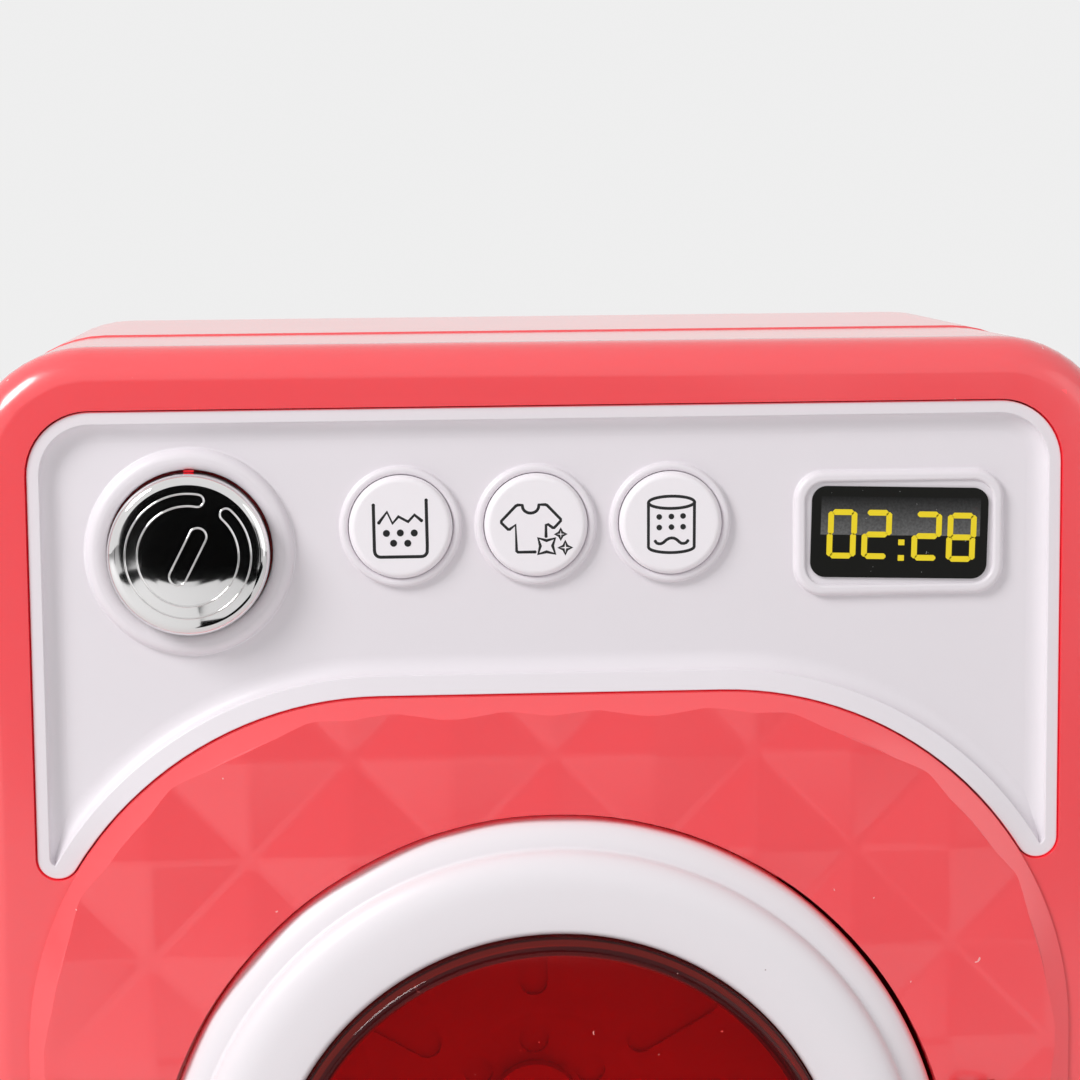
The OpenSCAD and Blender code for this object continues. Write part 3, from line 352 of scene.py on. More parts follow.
def moulded(tree, place, scale):
    """The mould's texture at a scale, and its wander."""
    texture = add(tree, "Group", node_tree=MOULD, in_Vector=place, in_Peel_Scale=scale)
    return texture, texture.outputs["Wander"]


def dusted(tree, place, base, dust, share, scale=300.0, size=0.12):
    """A colour with flecks of another."""
    flecks = add(tree, "Group", node_tree=FLECKS, in_Vector=place, in_Scale=scale, in_Share=share,
                 in_Size=size)
    return blend(tree, flecks, base, dust)


# %% [markdown]
# ## Moulded plastics
#
# All the coloured plastics are the same kind of finish: a gloss skin over a flat colour. One
# builder makes them, with the colour, the gloss, the depth of the orange peel and the amount
# of dust as its arguments. The colour shifts slightly with the slow wander, as pigment does.
# The coral also lets a little light in below its skin. The walls of its gaps get a painted red
# glow: an emission that stands in for the red light bounced inside them.

# %% Plastic builder


PALE_DUST, GREY_DUST = (0.9, 0.85, 0.85, 1), (0.4, 0.3, 0.3, 1)


def plastic(name, colour, gloss=0.25, spread=0.05, peel=0.02, shift=0.03, coat=0.0, peel_scale=900.0,
            specular=0.5, dust=None):
    """A procedural moulded plastic; dust is its colour, share, scale and size."""
    material, tree, shader, place = new_material(name)
    texture, wander = moulded(tree, place, peel_scale)
    tone = drifting(tree, wander, colour, 1 - shift, 1 + shift)
    if dust:
        tone = dusted(tree, place, tone, *dust)
    rough = rescale(tree, wander, gloss - spread, gloss + spread)
    bump = add(tree, "Bump", in_Height=texture, in_Strength=peel, in_Distance=0.0002)
    feed(shader, Base_Color=tone, Roughness=rough, Normal=bump, Coat_Weight=coat,
         Coat_Roughness=0.04, Specular_IOR_Level=specular)
    return material


CORAL = plastic("coral_gloss", (0.945, 0.091, 0.106), gloss=0.26, spread=0.01, peel=0.003, coat=0.8,
                shift=0.0, dust=((0.95, 0.45, 0.45, 1), 0.03, 620.0, 0.1))
# Painted glow: a deep red emission on the coral within a box just behind the front face, round the door and the
# panel, that stands in for the red light bounced inside the gaps.
PAINTED_GAP_GLOW_HALF_W, PAINTED_GAP_GLOW_DEPTHS, PAINTED_GAP_GLOW_HEIGHTS = 62.6, (0.04, 1.8), (14, 176.6)
tree = CORAL.node_tree
axes = add(tree, "SeparateXYZ", in_0=add(tree, "TexCoord").outputs["Object"])
across = within(tree, add(tree, "Math", operation="ABSOLUTE", in_0=axes), -1.0, PAINTED_GAP_GLOW_HALF_W * mm)
behind = within(tree, axes.outputs["Y"], *(FRONT + y * mm for y in PAINTED_GAP_GLOW_DEPTHS))
tall = within(tree, axes.outputs["Z"], *(z * mm for z in PAINTED_GAP_GLOW_HEIGHTS))
painted_gap_glow = math_of(tree, "MULTIPLY", math_of(tree, "MULTIPLY", across, behind), tall)
feed(tree.nodes["Principled BSDF"], Subsurface_Weight=0.3, Subsurface_Radius=(1.0, 0.1, 0.1),
     Subsurface_Scale=0.0012, Coat_Roughness=0.13, Emission_Strength=1.0,
     Emission_Color=blend(tree, painted_gap_glow, (0, 0, 0, 1), (0.27, 0.003, 0.010, 1)))
# The second and third whites are lighter copies of the panel's white plastic: painted light on the button caps and
# on the door ring.
WHITE, PAINTED_LIT_WHITE, RING_PAINTED_LIT_WHITE = [
    plastic(name, colour, gloss, spread=0.015, peel=0.004, shift=0.0, dust=dust)
    for name, colour, gloss, dust in (
        ("white_gloss", (0.80, 0.755, 0.795), 0.33, ((0.28, 0.2, 0.2, 1), 0.0015)),
        ("white_painted_lit", (0.885, 0.845, 0.88), 0.36, (GREY_DUST, 0.001)),
        ("white_ring_painted_lit", (0.835, 0.795, 0.83), 0.35, (GREY_DUST, 0.001)))]
print("plastics:", CORAL.name, WHITE.name, PAINTED_LIT_WHITE.name, RING_PAINTED_LIT_WHITE.name)

# %% [markdown]
# ## Joining the corners of the imported pieces
#
# The imported pieces are loose triangles, which show their flats. A copy whose corners are
# merged can be shaded smoothly, with area-weighted normals that keep the large faces flat.
# The copy stands for its node and rides on the same body.

# %% Smooth copies
BODY_OF = {n: b for b, ns in record["behaviour"]["bodies"].items() for n in ns}
SLOT_OF = {s["node"]: s["material_slot"] for s in record["subparts"]}
skins = {}
finished = set()


def finish(piece, body, slot, material, *nodes):
    """Hands a finished piece over: its material, its body and the nodes it stands for; the slot is not used."""
    piece.data.materials.clear()
    piece.data.materials.append(material)
    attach(piece, body)
    if nodes:
        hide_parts(*nodes)
        finished.update(nodes)


def finish_as(piece, node, material):
    """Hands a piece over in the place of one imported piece."""
    finish(piece, BODY_OF[node], SLOT_OF[node], material, node)


def merged_copy(node, name):
    """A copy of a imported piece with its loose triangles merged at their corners."""
    copy = new_object(name, frame["nodes"][node].data.copy())
    open_edit(copy, "VERT", whole=True)
    weld()
    close_edit()
    bpy.ops.mesh.customdata_custom_splitnormals_clear()
    return copy


def smooth_copy(node, material=None, angle=30):
    """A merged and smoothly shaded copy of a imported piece, handed over if it has its material."""
    copy = merged_copy(node, node + "_skin")
    smooth(copy, angle)
    if material:
        finish_as(copy, node, material)
    return copy


for node in ("front_shell", "rear_shell", "battery_cover"):
    skins[node] = smooth_copy(node, CORAL)
    report(node, skins[node])

# %% [markdown]
# ## Solid tools
#
# Cuts and overlaps are made with the Boolean modifier, as in a workshop: a cutter is modelled
# at its place, used once and thrown away. A round cutter along the depth of the machine is
# needed so often that it gets its own helper.

# %% Cutters


def settled(name):
    """Names the primitive that was just added, and settles it."""
    piece = bpy.context.object
    piece.name = name
    settle(piece)
    return piece


def rod(middle_point, radius, depth, axis="Y", sides=96, name="rod"):
    """A cylinder centred on a point, lying along the depth or standing upright."""
    deselect()
    turn = (math.pi / 2, 0, 0) if axis == "Y" else (0, 0, 0)
    bpy.ops.mesh.primitive_cylinder_add(vertices=sides, radius=radius, depth=depth,
                                        location=middle_point, rotation=turn)
    return settled(name)


def block(middle_point, size, name="block"):
    """A cuboid with its three sizes in millimetres."""
    deselect()
    bpy.ops.mesh.primitive_cube_add(size=1, location=middle_point, scale=[v * mm for v in size])
    return settled(name)


def cut(piece, tool, operation="DIFFERENCE"):
    """One Boolean step; the tool is thrown away afterwards."""
    apply_modifier(piece, "BOOLEAN", operation=operation, object=tool, solver="EXACT")
    bpy.data.objects.remove(tool, do_unlink=True)


# %% Helper: sharp edges chosen by place


def pick_sharp(piece, test, angle=40):
    """Selects edges that bend by more than the angle and whose middle passes the test."""
    bpy.ops.object.mode_set(mode="EDIT")
    bpy.ops.mesh.select_mode(type="EDGE")
    bpy.ops.mesh.select_all(action="DESELECT")
    bpy.ops.mesh.edges_select_sharp(sharpness=math.radians(angle))
    bpy.ops.object.mode_set(mode="OBJECT")
    mesh = piece.data
    for part in (mesh.vertices, mesh.polygons):
        part.foreach_set("select", [False] * len(part))
    chosen = [e for e in mesh.edges if e.select and test(run_of(mesh, e)[0])]
    mesh.edges.foreach_set("select", [False] * len(mesh.edges))
    for e in chosen:
        e.select = True
        for i in e.vertices:
            mesh.vertices[i].select = True
    bpy.ops.object.mode_set(mode="EDIT")
    return len(chosen)


def depth_of(point):
    """Depth behind the front face, in millimetres."""
    return (point.y - FRONT) / mm


def away(point, centre):
    """Distance from an axis that runs along the depth, in millimetres."""
    return math.hypot(point.x - centre.x, point.z - centre.z) / mm


# %% [markdown]
# ## The cut-gem surround
#
# Round the door the cabinet is moulded like a cut gem: low four-sided pyramids in a diagonal
# net, whose ridges run level and upright and whose valleys run at 45 degrees. It could be
# sculpted face by face, but a net is quicker: a grid is turned by 45 degrees, each square is
# poked into a pyramid, the creases are softened with a bevel, and the sheet is extruded into
# a block. The block is then trimmed by a rounded square whose front edge falls away in a
# band, so the net ends in the slightly scalloped line that the real moulding shows.

# %% The net of pyramids
DIAGONAL, SQUARES = 12.2, 10
RELIEF, VALLEY_Y, NET_DEPTH = 0.58, -0.84, 1.6
CREASE_W = 0.7
NET_Z = 133.3 - 4 * DIAGONAL

deselect()
bpy.ops.mesh.primitive_grid_add(x_subdivisions=SQUARES, y_subdivisions=SQUARES,
                                size=SQUARES * DIAGONAL * math.sqrt(2) * mm,
                                location=at(0, VALLEY_Y, NET_Z), rotation=(math.pi / 2, math.pi / 4, 0))
facets = settled("surround_facets")
open_edit(facets, whole=True)
bpy.ops.mesh.poke(offset=RELIEF * mm, use_relative_offset=False)
bpy.ops.mesh.select_all(action="SELECT")
bevel(CREASE_W, 3, clamp=True)
bpy.ops.mesh.select_all(action="SELECT")
bpy.ops.mesh.extrude_region_move(TRANSFORM_OT_translate={"value": (0, NET_DEPTH * mm, 0)})
face_outwards()
report("net", facets)

# %% The rounded square that trims the net
SURROUND_LOW, SURROUND_TOP, SURROUND_HALF, SURROUND_R = 12.9, 140.5, 63.7, 43.0
SURROUND_MID = (SURROUND_LOW + SURROUND_TOP) / 2
BAND_W, BAND_H, BAND_RINGS, BAND_FOOT = 2.5, 0.78, 10, 2.56
tray = block(at(0, -1.2, SURROUND_MID), (2 * SURROUND_HALF, 3.4, SURROUND_TOP - SURROUND_LOW), "tray")
bevel_depth_edges(tray, SURROUND_R, 64)
pick(tray, lambda c, n: n.y < -0.9)
bpy.ops.transform.translate(value=(0, BAND_FOOT * mm, 0))
climbed = [BAND_H * (0.77 * t + 0.23 * t * t) for t in [k / BAND_RINGS for k in range(BAND_RINGS + 1)]]
for lower, higher in zip(climbed, climbed[1:]):
    bpy.ops.mesh.inset(thickness=BAND_W / BAND_RINGS * mm, depth=(higher - lower) * mm)
bpy.ops.mesh.inset(thickness=0.6 * mm, depth=0.6 * mm)
close_edit()
cut(facets, tray, "INTERSECT")

# %% The band takes the place of the plain step on the front shell
STEP_Y, STEP_DEPTH, STRIP_MARGIN, STRIP_W = -1.5, 2.98, 0.03, 3


def rounded_block(margin, name):
    """A flat block that stands past the surround on all four sides by a margin in millimetres."""
    height = SURROUND_TOP - SURROUND_LOW + 2 * margin
    size = (2 * (SURROUND_HALF + margin), STEP_DEPTH, height)
    piece = block(at(0, STEP_Y, SURROUND_MID), size, name)
    bevel_depth_edges(piece, SURROUND_R + margin, 32)
    close_edit()
    return piece


strip = rounded_block(STRIP_MARGIN, "strip")
inside_of_strip = rounded_block(-STRIP_W, "strip_inside")
inside_of_strip.scale.y = 1.5
settle(inside_of_strip)
cut(strip, inside_of_strip)
front_skin = skins["front_shell"]
cut(front_skin, strip)
report("front shell", front_skin)

# %% [markdown]
# ## The seam between the two shells
#
# The shells meet in a line right round the cabinet. It could be a groove, but on a moulding it
# is two slightly rounded edges that touch, so each edge gets a small bevel. Along the top the
# front shell's edge is sunk by a hair first, less towards the round corners, because the two
# halves of such a toy never meet quite level.

# %% Seam
SEAM_Y, SEAM_STEP, SEAM_FADE, SEAM_W = 32, 0.2, 5.0, 0.22
BODY_TOP, BODY_MID, BODY_HALF_H, BODY_HALF_W, CORNER_R = 183.0, 93, 90, 70, 15


def on_seam(point):
    """True on the outer edge of either shell where the two meet."""
    x = max(abs(point.x) / mm - BODY_HALF_W + CORNER_R, 0)
    z = max(abs(point.z / mm - BODY_MID) - BODY_HALF_H + CORNER_R, 0)
    return abs(depth_of(point) - SEAM_Y - 0.1) < 0.15 and math.hypot(x, z) > CORNER_R - 0.3


for v in front_skin.data.vertices:
    if on_seam(v.co):
        v.co.z -= SEAM_STEP * mm * max(v.co.z / mm - BODY_TOP + SEAM_FADE, 0) / SEAM_FADE
for shell in (front_skin, skins["rear_shell"]):
    open_edit(shell)
    print("seam edges:", pick_sharp(shell, on_seam))
    bevel(SEAM_W, 2)
    close_edit()
    smooth(shell, 30)

# %% [markdown]
# ## Room for the door
#
# The surround leaves room for the door, its hinge and the notch that a fingertip opens it by.
# They could be part of the net's outline; cutting them last keeps the net whole until then.

# %% Room for the door, its hinge and the finger notch
DOOR_ROOM_R, HINGE_ROOM_R, HINGE_ROOM_H = 49.35, 3.4, 29.6
HINGE_X, HINGE_Y, NOTCH_X, NOTCH_R = 51.55, -2.6, -53.35, 8
cut(facets, rod(DOOR, DOOR_ROOM_R * mm, 40 * mm, sides=128))
hinge = Vector((HINGE_X * mm, FRONT + HINGE_Y * mm, DOOR.z))
cut(facets, rod(hinge, HINGE_ROOM_R * mm, HINGE_ROOM_H * mm, axis="Z", sides=32))
notch = Vector((NOTCH_X * mm, FRONT, DOOR.z))
cut(facets, rod(notch, NOTCH_R * mm, 12 * mm, sides=48))
open_edit(facets, whole=True)
weld(5e-6)
bpy.ops.mesh.dissolve_degenerate(threshold=5e-6)
close_edit()
smooth(facets, 7)
finish(facets, "cabinet", "coral_abs", CORAL)
report("surround", facets)

# %% [markdown]
# ## The white control panel
#
# The panel is a shallow tray: a rim round its edge, a round bead about the knob, collars about
# the buttons and a raised frame for the display. The engineering model has all of these with
# square corners. They could be modelled again from outlines; bevelling chosen edges is quicker,
# and is what a mould maker does. The bead that follows the surround leans forward over it, and
# less so towards the panel's two tips, so its lower edge is pulled forward before the bevels.

# %% The bead above the surround
FLOOR_Y, RIM_Y, FRAME_Y, COLLAR_Y = 2.0, 0.3, 1.0, 1.1
BEAD_GAP, BEAD_LEAN, TIP_Z, FADE = 0.3, 0.55, 120.8, 9.0
panel = smooth_copy("control_panel")
panel.name = "panel_skin"


def on_bead_edge(point):
    """True on the lower front edge of the bead that follows the surround."""
    across = max(abs(point.x) / mm - SURROUND_HALF + SURROUND_R, 0)
    past = math.hypot(across, point.z / mm - SURROUND_TOP + SURROUND_R) - SURROUND_R
    return abs(past - BEAD_GAP) < 0.06 and point.z / mm > TIP_Z and depth_of(point) < 1


leaning = [v for v in panel.data.vertices if on_bead_edge(v.co)]
for v in leaning:
    v.co.y -= BEAD_LEAN * mm * min((v.co.z / mm - TIP_Z) / FADE, 1)
print("bead leans:", len(leaning), "corners")
open_edit(panel, whole=True)
bpy.ops.mesh.dissolve_limited(angle_limit=math.radians(0.4))
close_edit()

# %% The panel's rounded edges
KNOB_ZONE, BUTTON_ZONE, LABEL_ZONE = 13.2, 8.2, (14, 9)
COLLAR_R, KNOB_RING_R, FRAME_LINE = 7.6, 10.5, (11.6, 6.42)


def at_depth(point, depth):
    """True at this depth behind the front face, in millimetres."""
    return abs(depth_of(point) - depth) < 0.03


def on_buttons(point, reach):
    """True within a distance of a button's axis."""
    return any(away(point, button) < reach for button in BUTTONS)


def on_label(point, half):
    """True in a rectangle about the display, given by its half width and half height."""
    return abs(point.x - LABEL.x) < half[0] * mm and abs(point.z - LABEL.z) < half[1] * mm


def on_fitting(point):
    """True near the knob, a button or the display."""
    return away(point, KNOB) < KNOB_ZONE or on_buttons(point, BUTTON_ZONE) or on_label(point, LABEL_ZONE)


def on_frame(point):
    """True on the front edges of the display's frame."""
    return at_depth(point, FRAME_Y) and on_label(point, LABEL_ZONE)


ROUNDS = (("rim", 0.62, 5, lambda c: at_depth(c, RIM_Y) or on_bead_edge(c)),
          ("collars", 0.4, 4, lambda c: at_depth(c, COLLAR_Y) and on_buttons(c, COLLAR_R)),
          ("frame outside", 0.6, 5, lambda c: on_frame(c) and not on_label(c, FRAME_LINE)),
          ("frame inside", 0.34, 4, lambda c: on_frame(c) and on_label(c, FRAME_LINE)),
          ("feet", 0.3, 3, lambda c: at_depth(c, FLOOR_Y) and on_fitting(c) and away(c, KNOB) > KNOB_RING_R))
for name, width, segments, test in ROUNDS:
    print(name, pick_sharp(panel, test), "edges rounded")
    bevel(width, segments, clamp=True)
close_edit()

# %% [markdown]
# ## The hollow curve at the foot of the rim
#
# A bevel on the pocket's inner corner would trip over itself in the two narrow tips. A sweep
# does not mind: the corner's own edges become a path, a small hollow section is swept along
# it, and where two runs meet in a tip they simply pass into each other, as poured plaster
# would. Curves sweep best when they lie flat, so the path is laid down and stood up again.

# %% Helpers: curves, and a section swept along sharp edges


def poly_curve(name, points, closed=True, dimensions="3D"):
    """Curve data with straight runs between points in metres."""
    data = bpy.data.curves.new(name, "CURVE")
    data.dimensions = dimensions
    line = data.splines.new("POLY")
    line.points.add(len(points) - 1)
    for point, place in zip(line.points, points):
        point.co = (*place, 1)
    line.use_cyclic_u = closed
    return data


def arc(cx, cz, rx, rz, start, stop, steps):
    """Points on part of an ellipse, angles in degrees counted from the right."""
    angles = [math.radians(start + (stop - start) * k / steps) for k in range(steps + 1)]
    return [(cx + rx * math.cos(a), cz + rz * math.sin(a)) for a in angles]


def sweep_along(piece, test, section, name):
    """Sweeps a closed section (x outwards from the edge, y towards the viewer) along edges."""
    only(piece)
    pick_sharp(piece, test)
    bpy.ops.mesh.duplicate()
    bpy.ops.mesh.separate(type="SELECTED")
    close_edit()
    path = [o for o in bpy.context.selected_objects if o is not piece][0]
    path.name = name
    depth = sum(v.co.y for v in path.data.vertices) / len(path.data.vertices)
    path.rotation_euler = (-math.pi / 2, 0, 0)
    settle(path)
    bpy.ops.object.convert(target="CURVE")
    points = [(x * mm, y * mm, 0) for x, y in section]
    outline = new_object(name + "_section", poly_curve(name + "_section", points, dimensions="2D"))
    path.data.dimensions = "2D"
    path.data.fill_mode = "NONE"
    path.data.bevel_mode = "OBJECT"
    path.data.bevel_object = outline
    bpy.ops.object.convert(target="MESH")
    bpy.data.objects.remove(outline, do_unlink=True)
    path.rotation_euler = (math.pi / 2, 0, 0)
    path.location = (0, depth, 0)
    settle(path)
    open_edit(path, whole=True)
    weld()
    face_outwards()
    return path


# %% The hollow curve
COVE_W, COVE_H, COVE_SINK = 2.3, 1.35, 0.25
hollow = [(-0.2, -COVE_SINK), (-0.2, COVE_H)] + arc(COVE_W, COVE_H, -COVE_W, -COVE_H, 0, 90, 10)
hollow += [(COVE_W, -COVE_SINK)]
cove = sweep_along(panel, lambda c: at_depth(c, FLOOR_Y) and not on_fitting(c), hollow, "cove")
smooth(cove, 50, weighted=False)
smooth(panel, 35)
join_into(panel, cove)
finish_as(panel, "control_panel", WHITE)
report("panel", panel)

# %% [markdown]
# ## Metals, rubber and the clear red window
#
# Plated metal mirrors its surroundings; a trace of unevenness keeps the mirror from looking
# drawn. Cut and rolled steel is duller, with a fine grain. The window is clear red plastic:
# light rays pass it, coloured, so that the drum shows behind it. Its colour is painted darker
# in bands towards the moulded edge, painted shade for the thick rim, and each band has a painted
# glow, an emission that stands in for light caught in the red plastic.

# %% Metal builder


def metal(name, colour, gloss=0.3, spread=0.06, grain=0.02, grain_scale=1500.0):
    """A procedural metal: plated when glossy, rolled or turned when duller."""
    material, tree, shader, place = new_material(name)
    texture, wander = moulded(tree, place, grain_scale)
    tone = drifting(tree, wander, colour, 0.94, 1.04)
    rough = rescale(tree, wander, max(0.02, gloss - spread), gloss + spread)
    bump = add(tree, "Bump", in_Height=texture, in_Strength=grain, in_Distance=0.0001)
    feed(shader, Base_Color=tone, Roughness=rough, Normal=bump, Metallic=1.0)
    return material


CHROME = metal("bright_chrome", (0.80, 0.79, 0.79), gloss=0.045, spread=0.015, grain=0.006, grain_scale=500.0)
FINISH = {
    "coral_abs": CORAL, "white_abs": WHITE, "chrome_knob": CHROME,
    "steel": metal("zinc_steel", (0.62, 0.63, 0.65)),
    "brass": metal("turned_brass", (0.78, 0.56, 0.22), gloss=0.22),
    "inner_plastic": plastic("inner_plastic", (0.76, 0.745, 0.71), gloss=0.45, peel=0.04),
    "acetal": plastic("acetal", (0.80, 0.77, 0.68), gloss=0.38),
    "drum_grey": plastic("drum_grey", (0.60, 0.575, 0.585), gloss=0.3, dust=(PALE_DUST, 0.004)),
    "rubber_grey": plastic("foot_rubber", (0.10, 0.095, 0.10), gloss=0.7, peel=0.3, peel_scale=2500.0),
    "silicone": plastic("silicone", (0.62, 0.60, 0.58), gloss=0.5, peel=0.05),
    "black_plastic": plastic("black_plastic", (0.02, 0.02, 0.022), gloss=0.4, peel=0.05),
    "board_green": plastic("board_green", (0.022, 0.17, 0.075), gloss=0.3, peel=0.12, peel_scale=2200.0,
                           shift=0.12),
    "cell_wrap": plastic("cell_sleeve", (0.05, 0.12, 0.30), gloss=0.24, peel=0.03, shift=0.06,
                         dust=(PALE_DUST, 0.003))}
print("finishes by slot:", len(FINISH))

# %% The window's material


def ramp_of(tree, value, colours):
    """A colour ramp over the window's radius, from its clear middle out to its edge, where the painted shade and
    glow lie.
    """
    ramp = add(tree, "ValToRGB", in_Fac=value)
    elements = ramp.color_ramp.elements
    for i, (where, colour) in enumerate(zip(BAND_STOPS, colours)):
        stop = elements[i] if i < 2 else elements.new(where)
        stop.position = where
        stop.color = (*colour, 1)
    return ramp


BAND_STOPS = (0.0, 0.385, 0.405, 0.52, 0.535, 0.60, 0.61)
# Tints of the clear red: the darker bands towards the moulded edge are painted shade, and the lighter band just
# inside the edge is painted light.
PAINTED_SHADE_TINTS = ((0.96, 0.05, 0.042), (0.96, 0.05, 0.042), (0.10, 0.012, 0.012), (0.09, 0.014, 0.014),
         (0.30, 0.03, 0.02), (0.25, 0.03, 0.02), (0.05, 0.01, 0.01))
# Painted glows: an emission per band, brightest in the lighter band and flecked with dust, that stands in for
# light caught in the red plastic.
PAINTED_GLOWS = ((0.012, 0.0030, 0.0036), (0.012, 0.0030, 0.0036), (0.026, 0.004, 0.0045), (0.026, 0.004, 0.0045),
         (0.085, 0.006, 0.004), (0.08, 0.006, 0.004), (0.012, 0.002, 0.002))
CLEAR_RED, tree, shader, place = new_material("clear_red")
centred = add(tree, "VectorMath", operation="SUBTRACT", in_0=place, in_1=(DOOR.x, 0, DOOR.z))
flat = add(tree, "VectorMath", operation="MULTIPLY", in_0=centred, in_1=(1, 0, 1))
radius = add(tree, "VectorMath", operation="LENGTH", in_0=flat).outputs["Value"]
bands = rescale(tree, radius, 0, 1, 30 * mm, 38 * mm)
tint = ramp_of(tree, bands, PAINTED_SHADE_TINTS)
lit = dusted(tree, place, ramp_of(tree, bands, PAINTED_GLOWS), (0.5, 0.30, 0.28, 1), 0.012, 900.0, 0.11)
texture, wander = moulded(tree, place, 250.0)
bump = add(tree, "Bump", in_Height=texture, in_Strength=0.01, in_Distance=0.0002)
feed(shader, Base_Color=tint, Roughness=rescale(tree, wander, 0.03, 0.07), Normal=bump,
     Transmission_Weight=1.0, IOR=1.25, Emission_Color=lit, Emission_Strength=1.0)
passing = add(tree, "BsdfTransparent", in_Color=tint)
shadow = add(tree, "LightPath").outputs["Is Shadow Ray"]
mix = add(tree, "MixShader", in_0=shadow, in_1=shader, in_2=passing)
feed(tree.nodes["Material Output"], Surface=mix)
print("window's material:", len(tree.nodes), "nodes")

# %% [markdown]
# ## The door ring and its window
#
# Both are turned forms. A ring like this could be a cylinder with many insets, but its outline
# is the interesting part: a rounded rim, a hollow, a shoulder with a soft crest and a flat
# face. So the outline is drawn once, as a curve, and spun about the door's axis in fine steps.
# The hinge arm and barrel are then added, and the bores cut.

# %% Helpers: a curve as a mesh, and a turned piece


def as_mesh(name, data):
    """Turns curve data into a mesh object."""
    thing = new_object(name, data)
    only(thing)
    bpy.ops.object.convert(target="MESH")
    return thing


def turned(centre, outline, name, steps=192):
    """Spins an outline of (radius, depth) points, in millimetres, about an axis along the depth."""
    points = [(centre.x + r * mm, FRONT + y * mm, centre.z) for r, y in outline]
    piece = as_mesh(name, poly_curve(name, points, outline[0][0] > 0))
    open_edit(piece, "VERT", whole=True)
    bpy.ops.mesh.spin(steps=steps, angle=2 * math.pi, center=(centre.x, FRONT, centre.z), axis=(0, 1, 0))
    bpy.ops.mesh.select_all(action="SELECT")
    weld()
    face_outwards()
    return piece


def bend(cx, cy, radius, start, stop, steps=6):
    """Points of a bend in an outline; 0 degrees points away from the axis, 90 to the front."""
    return arc(cx, cy, radius, -radius, start, stop, steps)


# %% The ring's outline, spun
DOOR_R, SHOULDER_R, WINDOW_R = 48.7, 46.1, 35.1
outline = [(DOOR_R, 2.4)] + bend(DOOR_R - 1.76, 0.6, 1.76, 0, 54, 8)
outline += bend(44.62, 3.79, 5.7, 54, 80, 8)
outline += bend(45.7, -2.31, 0.5, 260, 180, 5)
CREST_R, CREST_W, FLAT_Y = 45.2, 4.6, -4.7
outline += arc(CREST_R - CREST_W, -2.31, CREST_W, FLAT_Y + 2.31, 0, 90, 15)
outline += bend(WINDOW_R + 0.2 + 0.8, FLAT_Y + 0.8, 0.8, 90, 180, 6)
outline += [(WINDOW_R + 0.2, -2.9), (SHOULDER_R - 1.8, -2.9), (SHOULDER_R - 1.8, 0.7),
            (SHOULDER_R - 1.6, 0.7), (DOOR_R - 1.8, 0.4), (DOOR_R - 1.8, 2.4)]
ring = turned(DOOR, outline, "ring_skin")
report("ring", ring)

# %% Hinge arm, barrel and bores
hinge_copy = merged_copy("door_ring", "hinge_copy")
cut(hinge_copy, block(at(49.6, -2.6, DOOR.z / mm), (9, 9, 17), "keep_hinge"), "INTERSECT")
cut(hinge_copy, rod(DOOR, 48.2 * mm, 20 * mm, sides=192))
smooth(hinge_copy, 35)
bosses = smooth_copy("door_ring")
keep = turned(DOOR, [(37.6, -2.95), (44.25, -2.95), (44.25, 3), (37.6, 3)], "keep_bosses", 96)
cut(bosses, keep, "INTERSECT")
smooth(ring, 40, weighted=False)
join_into(ring, hinge_copy, bosses)
finish_as(ring, "door_ring", RING_PAINTED_LIT_WHITE)
report("ring with its hinge", ring)

# %% The window's outline, spun
LENS_Y = -5.9
outline = [(0, LENS_Y)] + [(r, LENS_Y) for r in (8, 16, 24, 30, 33.0)]
outline += bend(WINDOW_R - 1.5, LENS_Y + 1.0, 1.0, 90, 35, 5) + [(WINDOW_R - 0.35, LENS_Y + 0.75)]
outline += bend(WINDOW_R - 0.4, LENS_Y + 1.3, 0.4, 60, 0, 3)
outline += [(WINDOW_R, -2.85), (WINDOW_R + 2.2, -2.85), (WINDOW_R + 2.2, -1.1), (WINDOW_R - 1.8, -1.1),
            (WINDOW_R - 2.4, LENS_Y + 1.8), (16, LENS_Y + 1.8), (0, LENS_Y + 1.8)]
lens = turned(DOOR, outline, "window_skin")
smooth(lens, 25, weighted=False)
finish_as(lens, "door_window", CLEAR_RED)
report("window", lens)

# %% [markdown]
# ## The push buttons and their printed signs
#
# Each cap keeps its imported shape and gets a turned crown: a flat top, a soft round where the
# packed cap has a plain chamfer, and a skirt that narrows the running gap just below the
# collar's top, as a close-moulded key has. The signs are pad-printed: thin black lines. Each
# line is a curve with a round section, turned into a mesh, pressed almost flat and laid on the
# cap, with a dot at either end. A picture on the cap would do too, but lines stay sharp.

# %% Helpers for printed lines
INK = plastic("black_print", (0.006, 0.006, 0.007), gloss=0.45, peel=0.02)
CAP_Y = 0.4
PRINT_Y = CAP_Y - 0.01
INK_SPREAD, INK_RISE = 1.36, 0.025


def tube(name, points, width, closed, resolution):
    """A tube with a round section through points in metres; its width is in millimetres."""
    data = poly_curve(name, points, closed)
    data.bevel_depth = width / 2 * mm
    data.bevel_resolution = resolution
    data.use_fill_caps = not closed
    return as_mesh(name, data)


def dot(centre, x, z, radius):
    """A flat printed dot, thinner than a hair."""
    place = Vector((centre.x + x * mm, FRONT + PRINT_Y * mm, centre.z + z * mm))
    return rod(place, radius * mm, 0.05 * mm, sides=20, name="dot")


